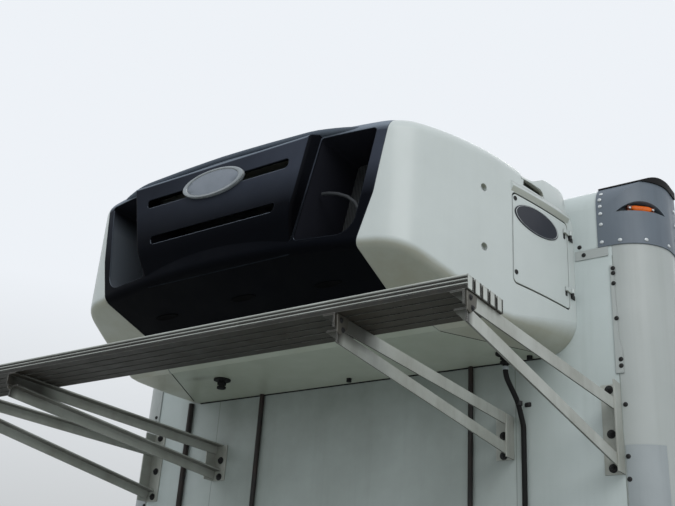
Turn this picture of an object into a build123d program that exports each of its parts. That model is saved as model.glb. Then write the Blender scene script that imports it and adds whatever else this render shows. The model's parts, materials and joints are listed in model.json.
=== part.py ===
from build123d import *
import math
import os

# Front wall of a refrigerated truck body, with the cooling unit on its nose and the
# service platform below it. X is across the truck, Y runs rearward into the body,
# Z is up. The origin is the centre of the sill's underside. Sizes are millimetres.

FAR = 3000.0
SEAM = 0.6

# Body wall
BODY_W = 2438.0
CORNER_R = 160.0
WALL_T = 100.0
SILL_H = 60.0
SILL_T = 6.0
SILL_HOLE_R = 7.0
SILL_ROW = 50.0
SILL_HOLES = (-900.0, -300.0, 300.0, 900.0)
UNIT_Z = 1700.0
ROOF_RISE = 636.0
ROOF_EDGE_R = 100.0
ROOF_T = 50.0
JOINT_DEPTH = 230.0

# Strips, straps and corner caps over the wall's seams
STRIP_LOW = 338.0
STRIP_HIGH = 376.0
STRIP_T = 3.0
STRIP_LAP = 34.0
CAP_T = 4.0
CAP_LAP = 47.0
STRAP_T = 5.0
# Corners of a strap: x from the edge of the wall's flat, z above the unit's belly
STRAP = ((-10.0, -87.0), (16.0, -87.0), (16.0, -10.0), (7.0, 30.0), (1.0, 298.0), (-10.0, 298.0))

# Marker lamp in its arched pocket, and the trim over the roof's corner
LAMP_ANGLE = 41.0
POCKET_Z = 499.0
POCKET_W = 179.0
POCKET_H = 38.0
POCKET_DEPTH = 34.0
LAMP_W = 96.0
LAMP_H = 24.0
LAMP_RAISE = 15.0
LAMP_T = 20.0
TRIM_IN = 4.6
TRIM_OUT = 9.0
TRIM_Y = 30.0
TRIM_Z = 617.0

# Cooling unit: outline at the wall, at the front corners and on the centre line
UNIT_HALF = 922.0
CORNER_X = 689.0
CORNER_Y = 798.0
NOSE_Y = 872.0
SIDE_BOW = 34.0
PLAN_R = 162.0
BELLY_FLAT = 396.0
BELLY_SLOPE = 0.343
CREASE_R = 34.0
REAR_R = 116.0
ROOF_PEAK_Z = 628.0
# Roof's centre line: y, z
ROOF_LINE = ((-950.0, 564.0), (-715.0, 612.0), (-480.0, 628.0), (-240.0, 612.0), (20.0, 558.0))
ROOF_CROWN_R = 13000.0
SHOULDER_R = 55.0
SKIN = 4.5
# Rounding of the belly's side edge: y, share of its radius at the wall
REAR_ROUND = ((20.0, 1.0), (-130.0, 0.7), (-280.0, 0.41), (-420.0, 0.175))
REAR_OUT = 30.0
REAR_FLATTEN = 1.1

# Dark nose panel. Its side seam: x, z
NOSE_SEAM = ((510.0, -100.0), (551.0, 147.0), (603.0, 316.0), (644.0, 572.0), (660.0, 672.0))
NOSE_ROOF_Y = 700.0
NOSE_BELLY_Y = 600.0
# Raised field: y, low edge, high edge, half width at the low edge and at the high edge
FIELD = ((-840.0, 150.0, 560.0, 318.0, 413.0), (-896.0, 278.0, 536.0, 344.0, 402.0))
FIELD_Y = 896.0
FIELD_LOW_R = 140.0
FIELD_EDGE_R = 12.0
# Slots: low edge, high edge, half width at the low edge and at the high edge
SLOTS = ((440.0, 472.0, 320.0, 322.0), (290.0, 320.0, 275.0, 281.0))
SLOT_R = 11.0
SLOT_LIP = 4.0
SLOT_REAR_Y = 778.0
PLATE_X = 137.0
PLATE_Z = 50.0
PLATE_T = 8.0
PLATE_CENTRE_Z = 460.0
# Right air opening: x, z, side it grows to in x and in z, corner radius
INTAKE = ((332.0, 190.0, -1, -1, 12.0), (538.0, 184.0, 1, -1, 70.0),
          (606.0, 548.0, 1, 1, 12.0), (412.0, 544.0, -1, 1, 12.0))
INTAKE_REAR_Y = 598.0
DUCT_IN = 2.0
DUCT_OUT = 6.0

# Roof panel, belly pan and side panels
ROOF_HALF = 600.0
MID_Z = 300.0
# Side seam of the belly pan: x, y
PAN = ((535.0, -620.0), (606.0, -386.0), (805.0, -45.0), (805.0, 50.0))
PAN_GAP = 4.0
# Round recesses in the side panels: y, z
RECESSES = ((-487.0, 433.0), (-485.0, 221.0))
RECESS_R = 13.5
RECESS_DEPTH = 16.0
# Moulded brow over the door: distance out of the side, z
BROW = ((-3.0, 473.0), (0.0, 473.0), (9.0, 490.0), (9.0, 496.0), (0.0, 512.0), (-3.0, 512.0))
BROW_FRONT = 362.0
BROW_REAR = 38.0
# Lifting ear at the rear of the shoulder, the notch before it and the slot below: y, z
EAR = ((-262.0, 500.0), (-262.0, 551.0), (-250.0, 551.0), (-205.0, 577.0), (-180.0, 592.0),
       (-125.0, 600.0), (-60.0, 610.0), (-32.0, 611.0), (-14.0, 603.0), (-8.0, 588.0), (-8.0, 573.0),
       (-36.0, 570.0), (-36.0, 500.0))
EAR_T = 14.0
NOTCH = ((-307.0, 551.0), (-250.0, 551.0), (-205.0, 577.0), (-180.0, 592.0), (-180.0, 700.0), (-307.0, 700.0))
NOTCH_X = 790.0
EAR_SLOT = ((-299.0, 518.0), (-294.0, 547.0), (-184.0, 533.0), (-190.0, 514.0))
EAR_SLOT_X = 760.0

# Side doors
DOOR_REAR = 46.0
DOOR_FRONT = 352.0
DOOR_LOW = 145.0
DOOR_HIGH = 466.0
DOOR_GAP = 6.0
DOOR_T = 12.0
DOOR_CORNER = 14.0
HINGE_X = 926.0
HINGE_Y = 36.0
KNUCKLE_R = 5.0
KNUCKLE_H = 16.0
LEAF_IN = 12.0
LEAF_T = 8.0
LEAF_FRONT = 26.0
LEAF_REAR = 8.0
PIN_R = 2.5
PIN_FIT = 0.06
HINGE_Z = (204.0, 424.0)

# Frame on the wall, rails, and the engine as one block
FRAME_DEPTH = 34.0
FRAME_W = 40.0
FRAME_LOW = 46.0
FRAME_HIGH = 484.0
FRAME_R = 60.0
RAIL_X = 400.0
RAIL_W = 50.0
RAIL_H = 46.0
RAIL_T = 5.0
RAIL_REACH = 520.0
ENGINE_FRONT = 500.0
ENGINE_REAR = 120.0
ENGINE_TOP = 430.0

# Condenser
COIL_HALF = 620.0
COIL_Y = 628.0
COIL_T = 45.0
COIL_LOW = 150.0
COIL_HIGH = 556.0

# Fans
TOP_FAN_X = 330.0
TOP_FAN_Y = 380.0
TOP_FAN_R = 150.0
COLD_FAN_X = 280.0
COLD_FAN_R = 110.0
FAN_CLEAR = 10.0
HUB_R = 42.0
BLADES = 5
BLADE_T = 4.0
BLADE_CLEAR = 6.0
BLADE_ROOT = 4.0
BLADE_PITCH = 28.0
ROTOR_GAP = 0.3
ROTOR_H = 50.0
SHROUD_H = 70.0
SHROUD_PROUD = 28.0
SHROUD_SINK = 22.0
MOTOR_H = 60.0
ARM_H = 6.0
ARM_W = 16.0
ARM_ANGLES = (0, 60, 120)
WIRE = 5.0
TOP_RINGS = 6
COLD_RINGS = 5
SPOKE_ANGLES = (45, 135)

# Cold-air box behind the wall
PLUG_HALF = 620.0
PLUG_LOW = 45.0
PLUG_HIGH = 325.0
COLD_BOX_DEPTH = 210.0
COLD_BOX_LIP = 30.0
RETURN_X = (-420.0, -140.0, 140.0, 420.0)
RETURN_HALF = 110.0
RETURN_INSET = (50.0, 40.0)
COIL_BACK = 40.0
COIL_GAP = 10.0
GUARD_LAP = 6.0
MOTOR_BACK = 15.0
SHEET = 3.0

# Platform
ARM_TOP = -181.0
ARM_LEG = 38.0
ARM_T = 5.0
ARM_REACH = 1072.0
STRUT_INSET = 20.0
STRUT_GAP = 0.8
# Brackets: x (None for the outer ones), arm's top at the wall, strut's foot, angle's top and foot
BRACKETS = ((None, -181.0, -405.0, -122.0, -415.0), (673.0, -197.0, -339.0, -200.0, -345.0))
BRACKET_IN = 10.0
ANGLE_LEG = 60.0
PLANK_OUT = 3.0
PLANK_N = 5
PLANK_PITCH = 40.0
PLANK_W = 33.0
PLANK_H = 38.0
PLANK_WALL = 3.0
PLANK_FRONT = 1070.0
GROOVES = (0.3, 0.6)
GROOVE_W = 4.0
GROOVE_DEPTH = 1.5

# Drains. Large and small fittings under the belly: x, y
LARGE_FITTINGS = ((700.0, -100.0), (-462.0, -250.0))
SMALL_FITTINGS = ((763.0, -40.0), (23.0, -60.0))
FLANGE_R = 34.0
FLANGE_T = 6.0
STEM_R = 13.0
STEM_END = 40.0
RING_R = 18.0
RING_H = 7.0
RING_Z = (-22.0, -38.0)
SMALL_R = 10.0
SMALL_H = 14.0
HOSE_R = 9.0
HOSE_GAP = 0.4
HOSE_FOOT = 40.0
# Hose route below the fitting: x, y, z
HOSE = ((700.0, -100.0, -40.0), (700.0, -100.0, -80.0), (712.0, -30.0, -155.0), (722.0, -9.4, -235.0))
HOSE_BENDS = (60.0, 90.0, 90.0)
# Tubes on the wall: x, radius
TUBES = ((-850.0, 12.0), (-449.0, 10.0), (521.0, 9.0))

WALL_FRONT = -WALL_T / 2
WALL_BACK = WALL_T / 2
HALF_W = BODY_W / 2
FLAT_HALF = HALF_W - CORNER_R
CAP_X = FLAT_HALF - CAP_LAP
ROOF_Z = UNIT_Z + ROOF_RISE
WALL_TOP = UNIT_Z + STRIP_HIGH
HOSE_END = HOSE_FOOT + SILL_H - UNIT_Z
FAN_TOP_Z = ROOF_PEAK_Z - SHROUD_SINK
PLANK_HALF = FLAT_HALF + PLANK_OUT

# The unit's side is an arc in plan, about this axis
SIDE_RUN_X = UNIT_HALF - CORNER_X
SIDE_CHORD = math.hypot(SIDE_RUN_X, CORNER_Y)
SIDE_R = (SIDE_CHORD * SIDE_CHORD / 4 + SIDE_BOW * SIDE_BOW) / (2 * SIDE_BOW)
AXIS_X = (UNIT_HALF + CORNER_X) / 2 - (SIDE_R - SIDE_BOW) * CORNER_Y / SIDE_CHORD
AXIS_Y = -CORNER_Y / 2 + (SIDE_R - SIDE_BOW) * SIDE_RUN_X / SIDE_CHORD

os.makedirs("parts", exist_ok=True)
parts = {}


def keep(name, shape):
    """Write one named piece."""
    parts[name] = shape
    export_step(shape, f"parts/{name}.step")


def at_unit(shape):
    """Move a piece from the cooling unit's own frame to the wall's."""
    return shape.moved(Location((0, WALL_FRONT, UNIT_Z)))


def brick(x, y, z):
    """A box from three (low, high) pairs."""
    size = [high - low for low, high in (x, y, z)]
    centre = [(high + low) / 2 for low, high in (x, y, z)]
    return Pos(*centre) * Box(*size)


def flat(corners):
    """A face from a table of corners: two coordinates and a radius."""
    with BuildSketch() as sk:
        with BuildLine():
            Polyline(*[(a, b) for a, b, radius in corners], close=True)
        make_face()
        for a, b, radius in corners:
            if radius:
                fillet(sk.vertices().sort_by_distance(Vector(a, b, 0))[0], radius)
    return sk.sketch


def rounded(points, radius=0.0):
    """The same radius at every corner of an outline."""
    return [(a, b, radius) for a, b in points]


def front_prism(corners, y_low, y_high):
    """A prism whose outline is drawn in X and Z, seen from the front."""
    solid = extrude(Plane.XZ * flat(corners), amount=y_high - y_low)
    return solid.moved(Location((0, y_high, 0)))


def side_prism(corners, x_low, x_high):
    """A prism whose outline is drawn in Y and Z, seen from the side."""
    solid = extrude(Plane.YZ * flat(corners), amount=x_high - x_low)
    return solid.moved(Location((x_low, 0, 0)))


def both_sides(points):
    """An outline closed across the centre line from its right half."""
    return rounded(list(points) + [(-x, b) for x, b in reversed(points)])


def mirrored(shape):
    """The same piece on the other side of the truck."""
    return shape.mirror(Plane.YZ)


def side_x(y):
    """Half width of the unit at a distance from the wall."""
    return AXIS_X + math.sqrt(SIDE_R * SIDE_R - (y - AXIS_Y) ** 2)


# Outline of the cooling unit

def unit_plan(inset):
    """Plan outline: a bowed front, round corners and bowed sides that widen to the wall."""
    half, corner_x = UNIT_HALF - inset, CORNER_X - inset
    corner_y, nose_y = inset - CORNER_Y, inset - NOSE_Y
    bow_x = AXIS_X + (SIDE_R - inset) * CORNER_Y / SIDE_CHORD
    bow_y = AXIS_Y - (SIDE_R - inset) * SIDE_RUN_X / SIDE_CHORD
    with BuildSketch() as sk:
        with BuildLine():
            ThreePointArc((half, 0), (bow_x, bow_y), (corner_x, corner_y))
            ThreePointArc((corner_x, corner_y), (0, nose_y), (-corner_x, corner_y))
            ThreePointArc((-corner_x, corner_y), (-bow_x, bow_y), (-half, 0))
            Line((-half, 0), (half, 0))
        make_face()
        fillet(sk.vertices().filter_by(lambda v: v.Y < corner_y / 2), PLAN_R - inset)
    return sk.sketch


def unit_side(inset):
    """Side outline: a flat belly and a tucked-up nose."""
    top, end_y = ROOF_PEAK_Z + SHOULDER_R, NOSE_Y + SHOULDER_R
    nose_low = inset + BELLY_SLOPE * (end_y - BELLY_FLAT)
    points = ((0, top), (0, inset), (-BELLY_FLAT, inset), (-end_y, nose_low), (-end_y, top))
    return side_prism(rounded(points), -UNIT_HALF, UNIT_HALF)


def roof_arch(inset):
    """Everything under the roof, which is arched along the truck and across it."""
    half, low = UNIT_HALF + SHOULDER_R, -CORNER_R
    drop = half * half / (2 * ROOF_CROWN_R)
    sections = []
    for y, top in ROOF_LINE:
        with BuildSketch(Plane.XZ.offset(-y)) as sk:
            with BuildLine():
                ThreePointArc((half, top - drop - inset), (0, top - inset), (-half, top - drop - inset))
                Polyline((-half, top - drop - inset), (-half, low), (half, low), (half, top - drop - inset))
            make_face()
        sections.append(sk.sketch)
    return loft(sections)


def rear_round(inset):
    """What the belly's side edge loses as its rounding grows toward the wall."""
    sections = []
    for y, share in REAR_ROUND:
        x, r = side_x(y), share * REAR_R
        with BuildSketch(Plane.XZ.offset(-y)) as sk:
            with BuildLine():
                Polyline((x - inset, r), (x + REAR_OUT, r), (x + REAR_OUT, -REAR_OUT), (x - r, -REAR_OUT),
                         (x - r, inset))
                RadiusArc((x - r, inset), (x - inset, r), (inset - r) * REAR_FLATTEN)
            make_face()
        sections.append(sk.sketch)
    return loft(sections)


def unit_form(inset):
    """The unit's closed form, drawn in by a distance all round, before its rear rounding."""
    plan = extrude(unit_plan(inset), amount=ROOF_PEAK_Z + SHOULDER_R)
    form = plan & unit_side(inset) & roof_arch(inset)
    roof_edges = form.faces().sort_by(Axis.Z)[-1].edges().filter_by(lambda e: e.center().Y < -1)
    form = fillet(roof_edges, SHOULDER_R - inset)
    crease_z = BELLY_SLOPE * (NOSE_Y - BELLY_FLAT)
    belly = [e for e in form.edges() if e.center().Z < crease_z and e.center().Y < -1
             and abs(e.center().X) > 1]
    return fillet(belly, CREASE_R - inset)


def unit_body(inset):
    """The same form with the rounding of its side edges grown toward the wall."""
    corner = rear_round(inset)
    return unit_form(inset) - corner - mirrored(corner)


outer = unit_body(0)
inner = unit_body(SKIN)


def recesses(radius, depth):
    """Round holes square to the right side, for its moulded recesses."""
    holes = []
    for y, z in RECESSES:
        turn = math.degrees(math.atan2(y - AXIS_Y, side_x(y) - AXIS_X))
        holes.append(Pos(side_x(y), y, z) * Rot(0, 0, turn) * Rot(0, 90, 0) * Cylinder(radius, 2 * depth))
    return holes


skin = outer - inner


def nose_zone(grow):
    """The part of the skin that belongs to the dark nose panel."""
    front = front_prism(both_sides([(x + grow, z) for x, z in NOSE_SEAM]), -FAR, 0)
    points = ((-FAR, -CORNER_R), (grow - NOSE_BELLY_Y, -CORNER_R), (grow - NOSE_BELLY_Y, CORNER_R),
              (grow - NOSE_ROOF_Y, MID_Z), (grow - NOSE_ROOF_Y, FAR), (-FAR, FAR))
    return front & side_prism(rounded(points), -FAR, FAR)


def field_form(inset):
    """The raised field in the middle of the nose, with steep flanks and a soft lower turn."""
    sections = []
    for y, low, high, half_low, half_high in FIELD:
        with BuildSketch(Plane.XZ.offset(-y - inset)) as sk:
            with BuildLine():
                Polyline((half_low - inset, low + inset), (half_high - inset, high - inset),
                         (inset - half_high, high - inset), (inset - half_low, low + inset), close=True)
            make_face()
        sections.append(sk.sketch)
    form = loft(sections, ruled=True)
    low_edge = form.faces().sort_by(Axis.Y)[0].edges().sort_by(Axis.Z)[0]
    form = fillet(low_edge, FIELD_LOW_R - inset)
    front = form.faces().filter_by(Axis.Y).sort_by(Axis.Y)[0]
    return fillet(front.edges().sort_by(Axis.Z)[1:], FIELD_EDGE_R - inset)


def intake(grow, y_low, y_high):
    """The slanted air opening on the right of the nose."""
    corners = [(x + grow * out_x, z + grow * out_z, radius) for x, z, out_x, out_z, radius in INTAKE]
    return front_prism(corners, y_low, y_high)


nose_form = (outer + field_form(0)) - (inner + field_form(SKIN))
nose = nose_form & nose_zone(-SEAM)
right_intake = intake(0, -FAR, -INTAKE_REAR_Y)
nose -= right_intake
nose -= mirrored(right_intake)
for low, high, half_low, half_high in SLOTS:
    nose -= front_prism(rounded(((-half_low, low), (half_low, low), (half_high, high), (-half_high, high)),
                                SLOT_R), -FAR, -SLOT_REAR_Y)
    lip = ((-FIELD_Y - 1, low - SLOT_LIP - 1), (-FIELD_Y - 1, low + 1), (SLOT_LIP + 1 - FIELD_Y, low + 1))
    nose -= side_prism(rounded(lip), SLOT_R - half_low, half_low - SLOT_R)
keep("nose_panel", at_unit(nose))

# Bare oval plate that bridges the upper slot
plate = extrude(Plane.XZ * Ellipse(PLATE_X, PLATE_Z), amount=PLATE_T)
keep("nose_plate", at_unit(plate.moved(Location((0, -FIELD_Y - SEAM / 2, PLATE_CENTRE_Z)))))

# Roof, belly and side panels
rest = skin - nose_zone(0)


def roof_zone(grow):
    """The band of the skin that belongs to the roof panel."""
    return brick((-ROOF_HALF - grow, ROOF_HALF + grow), (-NOSE_ROOF_Y - grow, FAR), (MID_Z, FAR))


def pan_zone(grow):
    """The splayed part of the skin that belongs to the belly pan."""
    face = flat(both_sides([(x + grow, y) for x, y in PAN]))
    return extrude(face, amount=MID_Z + CORNER_R).moved(Location((0, 0, -CORNER_R)))


def side_ring(points):
    """A moulding that follows the side's arc: distance out of the side, z."""
    with BuildSketch(Plane((AXIS_X, AXIS_Y, 0), x_dir=(1, 0, 0), z_dir=(0, -1, 0))) as sk:
        with BuildLine():
            Polyline(*[(SIDE_R + out, z) for out, z in points], close=True)
        make_face()
    return revolve(sk.sketch, Axis((AXIS_X, AXIS_Y, 0), (0, 0, 1)))


def door_prism(grow):
    """The side door's outline, rounded at its corners."""
    points = ((-DOOR_FRONT - grow, DOOR_LOW - grow), (-DOOR_REAR + grow, DOOR_LOW - grow),
              (-DOOR_REAR + grow, DOOR_HIGH + grow), (-DOOR_FRONT - grow, DOOR_HIGH + grow))
    return side_prism(rounded(points, DOOR_CORNER + grow), CORNER_X, HALF_W)


roof = rest & roof_zone(0)
belly_pan = rest & pan_zone(0)
sides = rest - roof_zone(SEAM) - pan_zone(PAN_GAP)
side_right = sides & brick((0, FAR), (-FAR, FAR), (-FAR, FAR))
brow = side_ring(BROW) & brick((0, FAR), (-BROW_FRONT, -BROW_REAR), (0, FAR))
low_z, high_z = EAR[0][1], ROOF_PEAK_Z
ear = side_ring(((-EAR_T, low_z), (0, low_z), (0, high_z), (-EAR_T, high_z))) & side_prism(
    rounded(EAR), CORNER_X, HALF_W)
side_right = side_right + brow + ear
side_right -= side_prism(rounded(NOTCH), NOTCH_X, HALF_W)
side_right -= side_prism(rounded(EAR_SLOT), EAR_SLOT_X, HALF_W)
side_right -= door_prism(DOOR_GAP)
for cup, hole in zip(recesses(RECESS_R + SKIN, RECESS_DEPTH + SKIN), recesses(RECESS_R, RECESS_DEPTH)):
    side_right = side_right + (cup & outer) - hole
keep("shell_right", at_unit(side_right))
keep("shell_left", at_unit(mirrored(side_right)))

# Side door with its hinge leaves
door = (outer - unit_form(DOOR_T)) & door_prism(0)
hinge_body = []
for z in HINGE_Z:
    door_z, leaf_x = z + SEAM / 2, HINGE_X - LEAF_IN
    knuckle = Pos(HINGE_X, -HINGE_Y, door_z + KNUCKLE_H / 2) * Cylinder(KNUCKLE_R, KNUCKLE_H)
    leaf = brick((leaf_x, leaf_x + LEAF_T), (-DOOR_REAR - LEAF_FRONT, -HINGE_Y), (door_z, door_z + KNUCKLE_H))
    bore = Pos(HINGE_X, -HINGE_Y, z) * Cylinder(PIN_R + PIN_FIT, 4 * KNUCKLE_H)
    door += ((leaf - outer) + knuckle) - bore
    root_knuckle = Pos(HINGE_X, -HINGE_Y, z - KNUCKLE_H / 2) * Cylinder(KNUCKLE_R, KNUCKLE_H)
    root_leaf = brick((leaf_x, leaf_x + LEAF_T + 1), (-HINGE_Y, -LEAF_REAR), (z - KNUCKLE_H, z))
    pin = Pos(HINGE_X, -HINGE_Y, z) * Cylinder(PIN_R, 2 * KNUCKLE_H)
    hinge_body.append((root_leaf - outer) + root_knuckle + pin)
keep("door_right", at_unit(door))
keep("door_left", at_unit(mirrored(door)))
keep("door_hinges", at_unit(Compound(children=hinge_body + [mirrored(p) for p in hinge_body])))

# Frame that carries the skin on the wall, and the rails under the machinery
frame_half = UNIT_HALF - SKIN - FRAME_W
opening = ((frame_half, FRAME_LOW), (frame_half, FRAME_HIGH), (-frame_half, FRAME_HIGH), (-frame_half, FRAME_LOW))
ring = inner & brick((-FAR, FAR), (-FRAME_DEPTH, 0), (-FAR, FAR))
keep("mounting_frame", at_unit(ring - front_prism(rounded(opening, FRAME_R), -FAR, FAR)))
rails = []
for x in (-RAIL_X, RAIL_X):
    beam = brick((x - RAIL_W / 2, x + RAIL_W / 2), (-RAIL_REACH, -FRAME_DEPTH), (SKIN, SKIN + RAIL_H))
    hollow = brick((x - RAIL_W / 2 + RAIL_T, x + RAIL_W / 2 - RAIL_T), (-RAIL_REACH, -FRAME_DEPTH),
                   (SKIN + RAIL_T, SKIN + RAIL_H - RAIL_T))
    rails.append((beam - hollow) & inner)
keep("chassis_rails", at_unit(Compound(children=rails)))
engine_half = RAIL_X + RAIL_W / 2
engine = brick((-engine_half, engine_half), (-ENGINE_FRONT, -ENGINE_REAR), (SKIN + RAIL_H, ENGINE_TOP))
keep("engine_block", at_unit(engine))

# Condenser behind the air openings, and the ducts that lead to it
coil = brick((-COIL_HALF, COIL_HALF), (-COIL_Y, COIL_T - COIL_Y), (COIL_LOW, COIL_HIGH))
keep("condenser_coil", at_unit(coil))
duct_right = intake(DUCT_OUT, -FAR, -COIL_Y - SEAM) - intake(DUCT_IN, -FAR, 0)
duct_right = duct_right & inner
keep("intake_duct_right", at_unit(duct_right))
keep("intake_duct_left", at_unit(mirrored(duct_right)))


# Fans

def rotor(radius):
    """A hub with pitched blades, turning about Z."""
    pitch = math.radians(BLADE_PITCH)
    width = (ROTOR_H - 2 * BLADE_CLEAR) / math.sin(pitch) - 2 * BLADE_T
    wheel = Cylinder(HUB_R, ROTOR_H)
    for i in range(BLADES):
        blade = Pos((radius + HUB_R) / 2 - BLADE_ROOT, 0, 0) * Rot(BLADE_PITCH, 0, 0) * Box(
            radius - HUB_R + BLADE_ROOT, width, BLADE_T)
        wheel += Rot(0, 0, i * 360 / BLADES) * blade
    return wheel & Cylinder(radius, 2 * ROTOR_H)


def guard(radius, rings):
    """A flat wire guard: rings on four spokes."""
    grille = Cylinder(radius, WIRE) - Cylinder(radius - WIRE, 2 * WIRE)
    for i in range(1, rings):
        r = radius * i / rings
        grille += Cylinder(r, WIRE) - Cylinder(r - WIRE, 2 * WIRE)
    for angle in SPOKE_ANGLES:
        grille += Rot(0, 0, angle) * Box(2 * radius - WIRE, WIRE, WIRE)
    return grille


shroud_r = TOP_FAN_R + FAN_CLEAR
lip_r = shroud_r + SHEET - SEAM
fan_low, fan_high = FAN_TOP_Z - SHROUD_H, FAN_TOP_Z + SHROUD_PROUD
for side, x in (("left", -TOP_FAN_X), ("right", TOP_FAN_X)):
    here = Pos(x, -TOP_FAN_Y, 0)
    roof -= here * Pos(0, 0, FAN_TOP_Z) * Cylinder(shroud_r + SHEET, 2 * SHROUD_H)
    shroud = Pos(0, 0, (fan_low + fan_high) / 2) * (
        Cylinder(lip_r, fan_high - fan_low) - Cylinder(shroud_r, fan_high))
    for angle in ARM_ANGLES:
        shroud += Pos(0, 0, fan_low + ARM_H / 2) * Rot(0, 0, angle) * Box(2 * shroud_r + SHEET, ARM_W, ARM_H)
    shroud += Pos(0, 0, fan_low + ARM_H - MOTOR_H / 2) * Cylinder(HUB_R, MOTOR_H)
    keep(f"fan_shroud_{side}", at_unit(here * shroud))
    wheel = Pos(0, 0, fan_low + ARM_H + ROTOR_GAP + ROTOR_H / 2) * rotor(TOP_FAN_R)
    keep(f"fan_rotor_{side}", at_unit(here * wheel))
    keep(f"fan_guard_{side}", at_unit(here * Pos(0, 0, fan_high + WIRE / 2) * guard(lip_r, TOP_RINGS)))
keep("roof_panel", at_unit(roof))
keep("belly_pan", at_unit(belly_pan))

# Drain fittings under the belly
fittings = []
for x, y in LARGE_FITTINGS:
    fitting = Pos(0, 0, -FLANGE_T / 2) * Cylinder(FLANGE_R, FLANGE_T)
    fitting += Pos(0, 0, -STEM_END / 2) * Cylinder(STEM_R, STEM_END)
    for z in RING_Z:
        fitting += Pos(0, 0, z + RING_H / 2) * Cylinder(RING_R, RING_H)
    fittings.append(Pos(x, y, 0) * fitting)
for x, y in SMALL_FITTINGS:
    fittings.append(Pos(x, y, -SMALL_H / 2) * Cylinder(SMALL_R, SMALL_H))
keep("drain_fittings", at_unit(Compound(children=fittings)))

# Body wall
wall = brick((-FLAT_HALF, FLAT_HALF), (WALL_FRONT, WALL_BACK), (SILL_H, WALL_TOP))
wall -= brick((-PLUG_HALF, PLUG_HALF), (-FAR, FAR), (UNIT_Z + PLUG_LOW, UNIT_Z + PLUG_HIGH))
keep("wall_panel", wall)
sill = brick((-FLAT_HALF, FLAT_HALF), (WALL_FRONT, WALL_BACK), (0, SILL_H))
sill -= brick((-FLAT_HALF, FLAT_HALF), (WALL_FRONT + SILL_T, WALL_BACK - SILL_T), (SILL_T, SILL_H - SILL_T))
for x in SILL_HOLES:
    for y in (-SILL_ROW / 2, SILL_ROW / 2):
        sill -= Pos(x, y, SILL_T / 2) * Cylinder(SILL_HOLE_R, 2 * SILL_T)
keep("sill_rail", sill)

# Rounded front edge of the roof
with BuildSketch(Plane.YZ) as sk:
    with BuildLine():
        Line((WALL_FRONT, WALL_TOP), (WALL_FRONT, ROOF_Z - ROOF_EDGE_R))
        RadiusArc((WALL_FRONT, ROOF_Z - ROOF_EDGE_R), (WALL_FRONT + ROOF_EDGE_R, ROOF_Z), ROOF_EDGE_R)
        Polyline((WALL_FRONT + ROOF_EDGE_R, ROOF_Z), (WALL_FRONT + JOINT_DEPTH, ROOF_Z),
                 (WALL_FRONT + JOINT_DEPTH, ROOF_Z - ROOF_T), (WALL_BACK, ROOF_Z - ROOF_T),
                 (WALL_BACK, WALL_TOP), (WALL_FRONT, WALL_TOP))
    make_face()
keep("top_rail", extrude(sk.sketch, amount=FLAT_HALF, both=True))


# Rounded corner posts

def corner_block(grow):
    """The body's corner: a round upright that meets the round front edge of the roof in a crease."""
    rear = WALL_FRONT + JOINT_DEPTH + 2 * CORNER_R
    block = brick((0, HALF_W + grow), (WALL_FRONT - grow, rear), (0, ROOF_Z + grow))
    upright = block.edges().filter_by(Axis.Z).sort_by(lambda e: e.center().Y - e.center().X)[0]
    block = fillet(upright, CORNER_R + grow)
    front, top = WALL_FRONT - grow, ROOF_Z + grow
    return block & side_prism(((front, 0, 0), (rear, 0, 0), (rear, top, 0), (front, top, ROOF_EDGE_R + grow)), 0, FAR)


# Arched pocket that the lamp sits in, square to the corner
lamp_at = Pos(FLAT_HALF + CORNER_R * math.sin(math.radians(LAMP_ANGLE)),
              WALL_FRONT + CORNER_R - CORNER_R * math.cos(math.radians(LAMP_ANGLE)),
              UNIT_Z + POCKET_Z) * Rot(0, 0, LAMP_ANGLE)
with BuildSketch(Plane.XZ) as sk:
    with BuildLine():
        ThreePointArc((-POCKET_W / 2, 0), (0, POCKET_H), (POCKET_W / 2, 0))
        Line((POCKET_W / 2, 0), (-POCKET_W / 2, 0))
    make_face()
pocket = lamp_at * extrude(sk.sketch, amount=2 * POCKET_DEPTH).moved(Location((0, POCKET_DEPTH, 0)))
joint_zone = brick((FLAT_HALF + SEAM, FAR), (-FAR, WALL_FRONT + JOINT_DEPTH), (0, FAR))
core = brick((0, HALF_W - ROOF_T), (WALL_BACK, FAR), (-FAR, ROOF_Z - ROOF_T))
post = (corner_block(0) & joint_zone) - core - pocket
keep("corner_post_right", post)
keep("corner_post_left", mirrored(post))

# Riveted corner caps, the lamps in their pockets, and the trim over the roof's corner
cap_zone = brick((CAP_X, FAR), (-FAR, WALL_FRONT + JOINT_DEPTH), (WALL_TOP - 2, FAR))
cap = ((corner_block(CAP_T + SEAM / 2) - corner_block(SEAM / 2)) & cap_zone) - pocket
keep("corner_cap_right", cap)
keep("corner_cap_left", mirrored(cap))
lamp = lamp_at * Pos(0, POCKET_DEPTH - LAMP_T / 2, LAMP_RAISE) * Box(LAMP_W, LAMP_T, LAMP_H)
keep("marker_lamps", Compound(children=[lamp, mirrored(lamp)]))
trim_zone = brick((CAP_X, FAR), (WALL_FRONT + TRIM_Y, WALL_FRONT + JOINT_DEPTH), (UNIT_Z + TRIM_Z, FAR))
trim = (corner_block(TRIM_OUT) - corner_block(TRIM_IN)) & trim_zone
keep("roof_trims", Compound(children=[trim, mirrored(trim)]))

# Strips and straps over the wall's seams
strip = brick((UNIT_HALF + DOOR_GAP, CAP_X + STRIP_LAP), (WALL_FRONT - STRIP_T, WALL_FRONT),
              (UNIT_Z + STRIP_LOW, WALL_TOP - STRIP_T))
keep("wall_strips", Compound(children=[strip, mirrored(strip)]))
strap = front_prism(rounded([(FLAT_HALF + x, UNIT_Z + z) for x, z in STRAP]), WALL_FRONT - STRAP_T, WALL_FRONT)
strap -= corner_block(0)
keep("seam_straps", Compound(children=[strap, mirrored(strap)]))

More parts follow.
